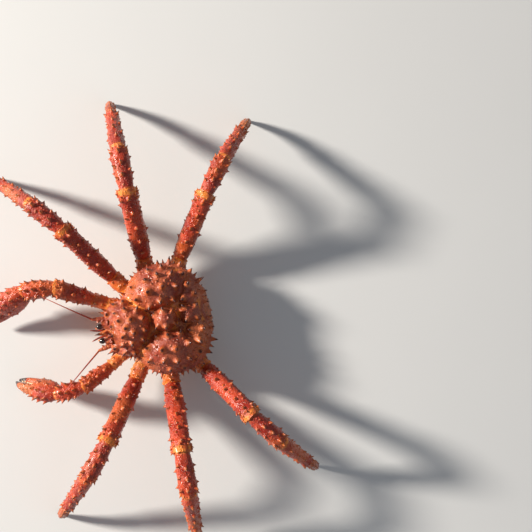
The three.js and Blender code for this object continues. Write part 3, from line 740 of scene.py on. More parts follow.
@dataclass
class Ringed(Skin):
    """A surface through rings, with a share of the length and an angle from the upper side."""

    shares: np.ndarray
    centres: np.ndarray
    uppers: np.ndarray
    acrosses: np.ndarray
    normals: np.ndarray
    heights: np.ndarray
    widths: np.ndarray
    lean: np.ndarray
    relief: float = 0.35
    seed: float = 0.0

    steps = (0.01, 2.0)

    def between(self, rows: np.ndarray, shares: np.ndarray) -> np.ndarray:
        """Values between the rings, on a smooth curve.

        Args:
            rows: One row for each ring, either (rings, 3) or (rings, places, 3).
            shares: Where along the length.

        Returns:
            One row for each share.
        """
        knots = self.shares
        slopes = np.empty_like(rows)
        over = (knots[2:] - knots[:-2]).reshape((-1,) + (1,) * (rows.ndim - 1))
        slopes[1:-1] = (rows[2:] - rows[:-2]) / over
        slopes[0] = (rows[1] - rows[0]) / (knots[1] - knots[0])
        slopes[-1] = (rows[-1] - rows[-2]) / (knots[-1] - knots[-2])
        k = np.clip(np.searchsorted(knots, shares, side="right") - 1, 0, len(knots) - 2)
        wide = knots[k + 1] - knots[k]
        t = ((shares - knots[k]) / wide)[:, None]
        wide = wide[:, None]
        own = (np.arange(len(shares)),) if rows.ndim == 3 else ()
        a, b, ma, mb = (table[(i, *own)] for table in (rows, slopes) for i in (k, k + 1))
        return (a * (2 * t**3 - 3 * t**2 + 1) + b * (3 * t**2 - 2 * t**3)
                + ma * wide * (t**3 - 2 * t**2 + t) + mb * wide * (t**3 - t**2))

    def middle(self, shares: np.ndarray) -> np.ndarray:
        """Places on the middle line."""
        return self.between(self.centres, np.clip(shares, 0, 1))

    def at(self, u: np.ndarray, v: np.ndarray) -> np.ndarray:
        """Places on the surface, for shares u and angles v in degrees.

        Args:
            u: Share of the length of each place.
            v: Its angle from the upper side, in degrees.

        Returns:
            The places.
        """
        u = np.clip(u, 0, 1)
        across = squared(np.sin(np.radians(v)))
        upper = squared(np.cos(np.radians(v)))
        rows = (self.centres[:, None] + self.acrosses[:, None] * (across * self.widths[:, None])[..., None]
                + self.uppers[:, None] * (upper * self.heights[:, None])[..., None])
        points = self.between(rows, u)
        out = unit(points - self.middle(u))
        swell = self.relief * (ripple(points, 11, self.seed) + 0.5 * ripple(points, 4.2, self.seed + 9))
        return points + out * swell[:, None]

    def ways(self, u: np.ndarray, v: np.ndarray) -> np.ndarray:
        """Out of the surface and a little along the limb."""
        out = unit(self.at(u, v) - self.middle(u))
        return unit(out + self.lean)

    def cover(self, piece: Piece, sides: int, stops: Stops, masks: Masks | None = None,
              lobes: float = 0.0) -> None:
        """Adds the surface as a closed part.

        Args:
            piece: The piece that it joins.
            sides: Vertices in a ring.
            stops: A share, a scale and a push along the limb for each ring, with the two ends' middles.
            masks: A value, or a function of share, scale and angle, for each mask.
            lobes: How far the far rim's edge runs in and out.
        """
        table = np.array(stops)
        form = tube(sides, len(stops) - 2)
        row = table[form.ring + 1]
        share, scale, push = row[:, 0], row[:, 1], row[:, 2]
        angle = np.degrees(form.turn)
        t = form.turn
        edge = 0.8 * np.cos(2 * t) + 0.45 * np.cos(7 * t + self.seed) + 0.3 * np.cos(11 * t)
        push = push + lobes * edge * smooth(0.93, 1.0, share) * smooth(0.84, 0.88, scale)
        centre = self.middle(share)
        ends = self.between(self.normals, np.clip(share, 0, 1))
        points = centre + (self.at(share, angle) - centre) * scale[:, None] + unit(ends) * push[:, None]
        rules = (masks or {}).items()
        values = {mask: rule(share, scale, angle) if callable(rule) else rule for mask, rule in rules}
        piece.add(form, points, values)


def limb(start: np.ndarray, end: np.ndarray, rings: RingTable, start_normal: np.ndarray | None = None,
         end_normal: np.ndarray | None = None, bow: float = 0.0, up: np.ndarray = UP,
         start_gap: float = GAP / 2, end_gap: float = GAP / 2, relief: float = 0.35) -> Ringed:
    """A limb's surface, set out as the source sets it.

    Args:
        start: Where the limb's line starts.
        end: Where it ends.
        rings: Share of the length, half height and half width of each ring.
        start_normal: The direction that the first ring faces, if not along the line.
        end_normal: The direction that the last ring faces, if not along the line.
        bow: How far the middle of the line rises.
        up: The side that counts as upper.
        start_gap: How far the first ring stands off the start.
        end_gap: How far the last ring stops before the end.
        relief: Height of the small swellings.

    Returns:
        The surface.
    """
    along = unit(end - start)
    length = float(np.linalg.norm(end - start))
    above = unit(up - along * (up @ along))
    centres, uppers, acrosses, normals = [], [], [], []
    for i, (share, _, _) in enumerate(rings):
        centre = start + along * (length * share) + above * (4 * bow * share * (1 - share))
        normal = unit(along + above * (4 * bow * (1 - 2 * share) / length))
        if i == 0:
            normal = normal if start_normal is None else start_normal
            centre = centre + normal * start_gap
        if i == len(rings) - 1:
            normal = normal if end_normal is None else end_normal
            centre = centre - normal * end_gap
        upper = unit(up - normal * (up @ normal))
        centres.append(centre)
        uppers.append(upper)
        normals.append(normal)
        acrosses.append(np.cross(normal, upper))
    table = np.array(rings, float)
    return Ringed(table[:, 0], np.array(centres), np.array(uppers), np.array(acrosses), np.array(normals),
                  table[:, 1], table[:, 2], along * 0.45, relief, float(abs(start.sum()) % 7))


def knob(piece: Piece, place: np.ndarray, radii: tuple[float, float, float],
         masks: Masks | None = None) -> None:
    """Adds a rounded knob.

    Args:
        piece: The piece that it joins.
        place: Its middle.
        radii: Its half axis each way.
        masks: Values for its vertices.
    """
    form = globe(14, 10)
    polar = form.ring / form.rings * math.pi
    level = np.sin(polar)
    ball = np.column_stack((level * np.cos(form.turn), level * np.sin(form.turn), np.cos(polar)))
    piece.add(form, place + ball * np.array(radii), masks)


def over_length(count: int) -> Stops:
    """Rings evenly over a surface's length."""
    return [(share, 1, 0) for share in np.linspace(0, 1, count)]


def neck_stops(neck: float) -> Stops:
    """Rings of the neck that reaches back into the joint before a limb."""
    return [(0, 0, -neck), (0, 0.5, -neck * 0.95), (0, 0.84, -neck * 0.7), (0, 0.96, -neck * 0.3)]


def shell_stops(count: int, neck: float, lip: float, cup: float) -> Stops:
    """Rings of a limb, from the neck in the joint before it to the cup that holds the next one.

    Args:
        count: Rings over the length.
        neck: How far the neck reaches back.
        lip: How far the rim stands out past the end.
        cup: How deep the cup is.

    Returns:
        A share, a scale and a push for each ring and for the two ends' middles.
    """
    rim = [(1, 1.0, lip * 0.5), (1, 0.975, lip * 0.9), (1, 0.93, lip), (1, 0.885, lip * 0.75),
           (1, 0.86, lip * 0.2), (1, 0.84, -cup), (1, 0, -cup)]
    return neck_stops(neck) + over_length(count) + rim


def tip_stops(count: int, neck: float, point: float) -> Stops:
    """Rings of a limb that ends in a point or a flat, with its end's middle pushed out."""
    return neck_stops(neck) + over_length(count) + [(1, 0, point)]


def in_the_joint(share: np.ndarray, scale: np.ndarray, _: np.ndarray) -> np.ndarray:
    """1 in the neck and the cup of a limb, and 0 on its shell."""
    return np.where((share <= 0) & (scale < 0.99) | (scale < 0.87), 1.0, 0.0)


def spine_rows(rows: RowTable, side: Side, chance: Chance) -> tuple[np.ndarray, np.ndarray, np.ndarray]:
    """The source's rows of spines, with its draws in its order.

    Args:
        rows: Angle, count, first and last share, height and root radius of each row.
        side: The side, which turns the angles round.
        chance: The limb's draws.

    Returns:
        Places, heights and root radii.
    """
    places, heights, radii = [], [], []
    for angle, count, first, last, height, radius in rows:
        for i in range(count):
            even = 0.5 if count == 1 else i / (count - 1)
            share = first + (last - first) * even + (chance() - 0.5) * 0.03
            places.append((share, side.value * angle + (chance() - 0.5) * 10))
            heights.append(height * (0.85 + 0.3 * chance()))
            radii.append(radius)
    return np.array(places), np.array(heights), np.array(radii)


LEG_THORN = Thorn(sides=8, rings=5, power=1.5)
BACK_THORN = Thorn(sides=14, rings=8, power=1.9, hook=0.1)
PIMPLE = Thorn(sides=7, rings=2, power=0.7)
THORNLET = Thorn(sides=7, rings=3, power=1.3)


def sprinkle(skin: Skin, low: tuple[float, float], high: tuple[float, float], count: int, taken: np.ndarray,
             clear: float, chance: Chance) -> np.ndarray:
    """Random places on a skin that keep clear of each other and of what already grows there.

    Args:
        skin: The surface.
        low: Lowest coordinates.
        high: Highest coordinates.
        count: Tries.
        taken: Places in space that are taken.
        clear: Least distance.
        chance: The draws.

    Returns:
        Both coordinates of each place kept.
    """
    spread = np.array(low) + chance.many(2 * count).reshape(-1, 2) * (np.array(high) - np.array(low))
    points = skin.at(*spread.T)
    kept: list[int] = []
    near = [p for p in taken]
    for i, point in enumerate(points):
        if near and np.min(np.sum((np.array(near) - point) ** 2, axis=1)) < clear**2:
            continue
        near.append(point)
        kept.append(i)
    return spread[kept]


@dataclass(frozen=True)
class Growth:
    """Small thorns or granules scattered over a skin."""

    kind: Thorn
    tries: int
    clear: float
    low: tuple[float, float]
    high: tuple[float, float]
    tall: tuple[float, float]  # least height, and how much more at most
    wide: tuple[float, float]  # least reach, and how much more at most

    def scatter(self, piece: Piece, skin: Skin, chance: Chance, taken: np.ndarray = np.zeros((0, 3)),
                masks: Masks | None = None) -> None:
        """Grows them.

        Args:
            piece: The piece that they join.
            skin: The surface.
            chance: The draws.
            taken: Places in space that are taken.
            masks: Values for their vertices besides the spine mask.
        """
        spots = sprinkle(skin, self.low, self.high, self.tries, taken, self.clear, chance)
        tall, wide = (least + more * chance.many(len(spots)) for least, more in (self.tall, self.wide))
        self.kind.grow(piece, skin, spots, tall, wide, masks)


def dress_limb(piece: Piece, skin: Ringed, rows: RowTable, side: Side, chance: Chance, thornlets: int,
               pimples: int) -> None:
    """Grows a limb's rows of spines, small thorns between them and granules.

    Args:
        piece: The limb's piece.
        skin: Its surface.
        rows: Its rows of spines.
        side: Its side.
        chance: Its draws.
        thornlets: Tries at small thorns.
        pimples: Tries at granules.
    """
    places, heights, radii = spine_rows(rows, side, chance)
    LEG_THORN.grow(piece, skin, places, heights * 0.86, radii * 1.55)
    rest = Chance(977 + int(abs(skin.centres[0].sum())))
    taken = skin.at(*places.T)
    for kind, low, high, tries, clear, tall, wide, masks in (
            (THORNLET, (0.06, -180), (0.96, 180), thornlets, 7.5, (1.2, 2.0), (2.2, 0.9), {}),
            (PIMPLE, (0.03, -180), (0.98, 180), pimples, 2.8, (0.3, 0.45), (0.8, 0.7), {Mask.SPINE: 0.3})):
        spots = sprinkle(skin, low, high, tries, taken, clear, rest)
        taken = np.concatenate((taken, skin.at(*spots.T)))
        heights, reaches = (least + more * rest.many(len(spots)) for least, more in (tall, wide))
        under = np.abs((spots[:, 1] + 180) % 360 - 180) > 128
        kind.grow(piece, skin, spots[~under], heights[~under], reaches[~under], masks)
        kind.grow(piece, skin, spots[under], heights[under] * 0.7, reaches[under], {**masks, Mask.PALE: 0.6})


# Carapace

OUTLINE = ((0, -1.0), (0.17, -1.02), (0.3, -0.97), (0.43, -0.85), (0.5, -0.66), (0.58, -0.5), (0.75, -0.38),
           (0.89, -0.22), (0.97, -0.02), (1.0, 0.22), (0.97, 0.48), (0.87, 0.71), (0.68, 0.91), (0.43, 1.01),
           (0.2, 1.01), (0, 0.97))


@dataclass(frozen=True)
class ClosedCurve:
    """A smooth closed curve through points in a plane."""

    points: np.ndarray

    @classmethod
    def mirrored(cls, half: Sequence[tuple[float, float]], scale: tuple[float, float]) -> "ClosedCurve":
        """A curve through half an outline, from front to rear, and its mirror image."""
        full = [*half, *((-x, y) for x, y in reversed(half[1:-1]))]
        return cls(np.array(full, float) * np.array(scale))

    def at(self, share: np.ndarray) -> np.ndarray:
        """Places at shares of the way round.

        Args:
            share: Shares of the way round.

        Returns:
            Their places in the plane.
        """
        count = len(self.points)
        run = (np.asarray(share, float) % 1.0) * count
        k = np.floor(run).astype(int)
        t = (run - k)[:, None]
        p0, p1, p2, p3 = (self.points[(k + i) % count] for i in (-1, 0, 1, 2))
        m1, m2 = 0.5 * (p2 - p0), 0.5 * (p3 - p1)
        return p1 + t * m1 + t**2 * (-3 * p1 + 3 * p2 - 2 * m1 - m2) + t**3 * (2 * p1 - 2 * p2 + m1 + m2)


@dataclass
class CarapaceSkin(Skin):
    """The back's surface, over the plan's x and y."""

    centre_y: float = 0.12 * HALF_LENGTH
    groove: float = 13.0
    blend: float = 2.8
    mound: float = 1.5
    mound_reach: float = 5.0
    relief: float = 0.4
    # Centre and half axes as shares of the half width and half length, and height over the margin
    regions: dict[str, tuple[float, float, float, float, float]] = field(default_factory=lambda: {
        "gastric": (0, -0.53, 0.42, 0.45, 40),
        "cardiac": (0, 0.16, 0.24, 0.29, 40),
        "intestinal": (0, 0.67, 0.2, 0.25, 27),
        "branchial": (0.57, 0.14, 0.42, 0.6, 38),
        "rear_branchial": (0.37, 0.74, 0.3, 0.26, 26),
        "hepatic": (0.41, -0.64, 0.15, 0.22, 25),
    })
    mounds: np.ndarray = field(default_factory=lambda: np.zeros((0, 2)))
    curve: ClosedCurve = field(
        default_factory=lambda: ClosedCurve.mirrored(OUTLINE, (HALF_WIDTH, HALF_LENGTH)))

    def __post_init__(self) -> None:
        """Tables the margin's distance by bearing."""
        edge = self.curve.at(np.linspace(0, 1, 1440, endpoint=False))
        turn = np.arctan2(edge[:, 0], -(edge[:, 1] - self.centre_y))
        order = np.argsort(turn)
        self.margin_turns = turn[order]
        self.margin_reaches = np.hypot(edge[:, 0], edge[:, 1] - self.centre_y)[order]

    def share(self, x: np.ndarray, y: np.ndarray) -> np.ndarray:
        """Distance from the dome's centre as a share of the margin's.

        Args:
            x: Across the back.
            y: Along the back.

        Returns:
            0 at the centre to 1 at the margin.
        """
        turn = np.arctan2(x, -(y - self.centre_y))
        reach = np.interp(turn, self.margin_turns, self.margin_reaches, period=2 * math.pi)
        return np.hypot(x, y - self.centre_y) / reach

    def lobes(self, x: np.ndarray, y: np.ndarray) -> tuple[np.ndarray, np.ndarray]:
        """The lobes' height, and how much of it is groove.

        Args:
            x: Across the back.
            y: Along the back.

        Returns:
            Height over the margin before the rim's fall, and 0 on a lobe to 1 in a groove.
        """
        floor = math.exp(self.groove / self.blend)
        total = np.full(np.shape(x), floor)
        for cx, cy, a, b, height in self.regions.values():
            away = np.hypot((np.abs(x) / HALF_WIDTH - cx) / a, (y / HALF_LENGTH - cy) / b)
            total += np.exp(height * np.maximum(0, 1 - away * away) ** 0.6 / self.blend)
        return self.blend * np.log(total), floor / total

    def heights(self, x: np.ndarray, y: np.ndarray) -> np.ndarray:
        """The source's height of the back."""
        rim = np.sqrt(1 - np.minimum(1, self.share(x, y)) ** 4)
        return MARGIN_Z + rim * self.lobes(x, y)[0]

    def at(self, u: np.ndarray, v: np.ndarray) -> np.ndarray:
        """Places on the back, with the mounds that the spines stand on and small swellings.

        Args:
            u: Across the back.
            v: Along the back.

        Returns:
            The places; those past the margin are drawn in to it.
        """
        share = self.share(u, v)
        inward = np.minimum(1, 0.995 / np.maximum(share, 1e-6))
        x, y = u * inward, self.centre_y + (v - self.centre_y) * inward
        z = self.heights(x, y)
        fade = np.sqrt(np.maximum(0, 1 - np.minimum(1, share) ** 4))
        if len(self.mounds):
            apart = (x[:, None] - self.mounds[:, 0]) ** 2 + (y[:, None] - self.mounds[:, 1]) ** 2
            z = z + fade * self.mound * np.exp(-apart / (2 * self.mound_reach**2)).sum(axis=1)
        points = np.stack((x, y, z), axis=1)
        swell = self.relief * (ripple(points, 13) + 0.6 * ripple(points, 4.6, 5.0))
        points[:, 2] += fade * swell
        return points

    def normals(self, x: np.ndarray, y: np.ndarray) -> np.ndarray:
        """The source's directions out of the back.

        Args:
            x: Across the back.
            y: Along the back.

        Returns:
            Directions, of length 1.
        """
        step = 1.5
        dx = (self.heights(x + step, y) - self.heights(x - step, y)) / (2 * step)
        dy = (self.heights(x, y + step) - self.heights(x, y - step)) / (2 * step)
        return unit(np.stack((-dx, -dy, np.ones_like(dx)), axis=1))

    def ways(self, u: np.ndarray, v: np.ndarray) -> np.ndarray:
        """Out of the back, leaning a little to the front as the source's do."""
        return unit(self.normals(u, v) + np.array((0.0, -0.18, 0.0)))


@dataclass
class Carapace:
    """The back: a domed shell of swollen lobes with conical spines, a spiny margin and a beak."""

    sides: int = 288
    rings: int = 128
    dome_share: float = 0.82
    rim_share: float = 0.06
    wall_share: float = 0.07
    skin: CarapaceSkin = field(default_factory=CarapaceSkin)
    # Spines on the left half, as shares of the half width and half length, and height
    spines: tuple[tuple[float, float, float], ...] = (
        (0.1, 0.02, 9.5), (0.13, 0.16, 9.5), (0.1, 0.32, 9), (0.1, -0.26, 8.5), (0.24, -0.32, 9.5),
        (0.1, -0.46, 8), (0.28, -0.52, 9.5), (0.12, -0.66, 9.5), (0.27, -0.72, 8), (0, -0.57, 7),
        (0.07, -0.83, 8), (0.1, 0.6, 8.5), (0.1, 0.8, 7.5), (0.31, -0.87, 6.5), (0.42, -0.72, 8),
        (0.45, -0.54, 7), (0.29, -0.06, 8), (0.32, 0.16, 9.5), (0.32, 0.4, 9), (0.29, 0.62, 9),
        (0.32, 0.84, 8.5), (0.45, -0.24, 8.5), (0.52, 0.0, 10.5), (0.55, 0.26, 11), (0.51, 0.5, 10),
        (0.5, 0.74, 9.5), (0.66, -0.28, 8), (0.72, -0.02, 9.5), (0.76, 0.22, 10), (0.73, 0.47, 9.5),
        (0.68, 0.7, 9), (0.87, 0.08, 8), (0.89, 0.34, 8),
    )
    spine_reach: float = 8.6
    margin_spines: int = 15
    margin_first: float = 0.085
    margin_last: float = 0.475
    beak: Spike = Spike(27.0, 7.6, sides=20, rings=16, flare=0.35, root=6, bend=0.05, flat=0.85)
    beak_place: tuple[float, float, float] = (0, -0.86, 84)
    # Spines on the beak and round the eyes: a place, whose second value is a share of the half length,
    # a direction, and the spine; one off the middle has a mirror image
    face_spines: tuple[tuple[tuple[float, ...], tuple[float, ...], Spike], ...] = (
        ((6, -0.93, 86.5), (0.45, -1, 0.5), Spike(11, 3.2, flare=0.7)),
        ((0, -0.98, 89), (0, -0.5, 1), Spike(8, 2.9, flare=0.8)),
        ((0, -1.07, 88), (0, -0.6, 1), Spike(5, 2.0, flare=0.8)),
        ((28.5, -0.94, 77), (0.4, -1, 0.3), Spike(10, 3.1, flare=0.8)),
        ((15, -0.97, 82), (0.2, -1, 0.35), Spike(6, 2.6, flare=0.8)),
    )

    def build(self) -> None:
        """Builds the carapace."""
        chance = Chance(11)
        spots, heights = self.spine_spots(chance)
        self.skin.mounds = spots
        piece = Piece("carapace_shell")
        self.cover(piece)
        rear = smooth(0.2 * HALF_LENGTH, 0.7 * HALF_LENGTH, spots[:, 1])
        larger = 1 + 0.12 * rear
        BACK_THORN.grow(piece, self.skin, spots, heights * larger, self.spine_reach * larger)
        self.small_growth(piece, spots)
        self.margin(piece, chance)
        self.face(piece)
        piece.make(BACK_SHELL, "carapace")

    def spine_spots(self, chance: Chance) -> tuple[np.ndarray, np.ndarray]:
        """Places and heights of the back's spines, with the source's draws.

        Args:
            chance: The back's draws.

        Returns:
            Places in plan, and heights.
        """
        spots, heights = [], []
        for share_x, share_y, height in self.spines:
            for side in (1,) if share_x == 0 else (1, -1):
                x = side * share_x * HALF_WIDTH + (chance() - 0.5) * 2
                y = share_y * HALF_LENGTH + (chance() - 0.5) * 2
                spots.append((x, y))
                heights.append(height * (0.9 + 0.2 * chance()))
        return np.array(spots), np.array(heights)

    def cover(self, piece: Piece) -> None:
        """Adds the dome, the rim and the flat underside, with the notch for the eyes.

        Args:
            piece: The piece that it joins.
        """
        form = globe(self.sides, self.rings)
        run = form.ring / self.rings
        turn = (form.turn / (2 * math.pi)) % 1.0
        edge = self.skin.curve.at(turn)
        on_dome = run <= self.dome_share
        wall = np.clip((run - self.dome_share) / self.rim_share, 0, 1) * math.pi / 2
        under_start = self.dome_share + self.rim_share
        under = np.clip((run - under_start) / (1 - under_start), 0, 1)
        share = np.where(on_dome, run / self.dome_share, 1 - self.wall_share * (1 - np.cos(wall)))
        share = share * (1 - under)
        x = edge[:, 0] * share
        y = self.skin.centre_y + (edge[:, 1] - self.skin.centre_y) * share
        top = self.skin.at(x, y)
        low = MARGIN_Z - (MARGIN_Z - SHELL_FLOOR_Z) * np.sin(wall)
        points = np.stack((x, y, np.where(on_dome, top[:, 2], low)), axis=1)
        inside = 1 - smooth(FACE_HALF_WIDTH - 1.5, FACE_HALF_WIDTH + 1.5, np.abs(x))
        notch = (points[:, 1] < FACE_Y) & (points[:, 2] < BROW_Z)
        points[:, 1] = np.where(notch, points[:, 1] * (1 - inside) + FACE_Y * inside, points[:, 1])
        pale = np.where(on_dome, 0.0, smooth(0.3, 1.0, wall / (math.pi / 2)))
        deep = self.skin.lobes(x, y)[1] * (1 - smooth(0.8, 0.97, share))
        piece.add(form, points, {Mask.PALE: pale, Mask.DEEP: np.where(on_dome, deep, 0.0)})

    def small_growth(self, piece: Piece, spots: np.ndarray) -> None:
        """Adds small thorns and granules between the spines.

        Args:
            piece: The piece that it joins.
            spots: The spines, which it keeps clear of.
        """
        chance = Chance(5077)
        taken = self.skin.at(*spots.T)
        low, high = (-HALF_WIDTH, -HALF_LENGTH), (HALF_WIDTH, HALF_LENGTH)
        for kind, tries, clear, edge, tall, wide, masks in (
                (THORNLET, 420, 8.0, 0.96, (1.4, 2.4), (2.4, 1.3), {}),
                (PIMPLE, 1500, 3.9, 0.97, (0.3, 0.5), (0.8, 0.8), {Mask.SPINE: 0.3})):
            small = sprinkle(self.skin, low, high, tries, taken, clear, chance)
            small = small[self.skin.share(*small.T) < edge]
            heights, reaches = (least + more * chance.many(len(small)) for least, more in (tall, wide))
            kind.grow(piece, self.skin, small, heights, reaches, masks)
            taken = np.concatenate((taken, self.skin.at(*small.T)))

    def margin(self, piece: Piece, chance: Chance) -> None:
        """Adds the margin's row of spines, with the source's draws, and a lower row of small ones.

        Args:
            piece: The piece that it joins.
            chance: The back's draws.
        """
        shares = np.linspace(self.margin_first, self.margin_last, self.margin_spines)
        places = self.skin.curve.at(shares)
        tangents = unit(self.skin.curve.at(shares + 1e-4) - self.skin.curve.at(shares - 1e-4))
        for side in Side:
            mirror = np.array((side.value, 1, 1))
            for i, (place, along) in enumerate(zip(places, tangents)):
                out = np.array((along[1], -along[0]))
                if out @ (place - np.array((0, self.skin.centre_y))) < 0:
                    out = -out
                way = np.array((*out, 0.35 + 0.3 * chance()))
                tall = (10 if i % 3 == 0 else 7.5) * (0.9 + 0.2 * chance())
                rear = float(smooth(0.0, 50.0, np.array(place[1])))
                spike = Spike(tall * (1 + 0.3 * rear), 3.3 + 2.0 * rear, 14, flare=0.8, root=3.6, bend=0.14)
                root = np.array((*(place - out * 1.5), MARGIN_Z + 1.5))
                spike.add(piece, root * mirror, way * mirror, toward=UP)
                if i + 1 == len(places):
                    continue
                spot = np.array((*((place + places[i + 1]) / 2 - out), MARGIN_Z - 1.5))
                low = np.array((*out, -0.15 + 0.3 * (i % 2)))
                length, radius = 3.8 + 1.7 * (i % 3) + 2.2 * rear, 2.3 + 1.1 * rear
                Spike(length, radius, 9, 5, flare=0.8, root=2.4).add(piece, spot * mirror, low * mirror)

    def face(self, piece: Piece) -> None:
        """Adds the beak, and the spines on it and round the eyes.

        Args:
            piece: The piece that it joins.
        """
        scale = np.array((1, HALF_LENGTH, 1))
        ahead = unit(np.array((0, -1, 0.12)))
        self.beak.add(piece, self.beak_place * scale, ahead, {Mask.DEEP: 0.35}, toward=UP)
        for place, way, spike in self.face_spines:
            for mirror in (1, -1) if place[0] else (1,):
                flip = np.array((mirror, 1, 1))
                spike.add(piece, place * scale * flip, way * flip)


# Breast


@dataclass(frozen=True)
class Root:
    """Where a limb leaves the breast."""

    x: float
    y: float
    z: float
    azimuth: float
    elevation: float
    radius: float

    def place(self, side: Side) -> np.ndarray:
        """Its place on one side."""
        return np.array((side.value * self.x, self.y, self.z))

    def way(self, side: Side) -> np.ndarray:
        """Its direction on one side."""
        return direction(side, self.azimuth, self.elevation)


ROOTS = {
    "cheliped": Root(33, -50, SOCKET_Z + 1, 60, 4, 11.5),
    "leg1": Root(43, -24, SOCKET_Z, 34, 4, 12.5),
    "leg2": Root(51, 5, SOCKET_Z, 3, 4, 13),
    "leg3": Root(47, 34, SOCKET_Z, -30, 4, 12.5),
    "maxilliped": Root(9.5, -62, 47, 86, -8, 6.5),
}


@dataclass
class Wall(Skin):
    """The breast's upright side, over a share of the way round and a height."""

    curve: ClosedCurve

    steps = (0.002, 1.0)

    def at(self, u: np.ndarray, v: np.ndarray) -> np.ndarray:
        """Places on the side."""
        return np.column_stack((self.curve.at(u), v))

    def ways(self, u: np.ndarray, v: np.ndarray) -> np.ndarray:
        """Straight out of the side."""
        along = unit(self.curve.at(u + 0.002) - self.curve.at(u - 0.002))
        return np.column_stack((along[:, 1], -along[:, 0], np.zeros(len(along))))


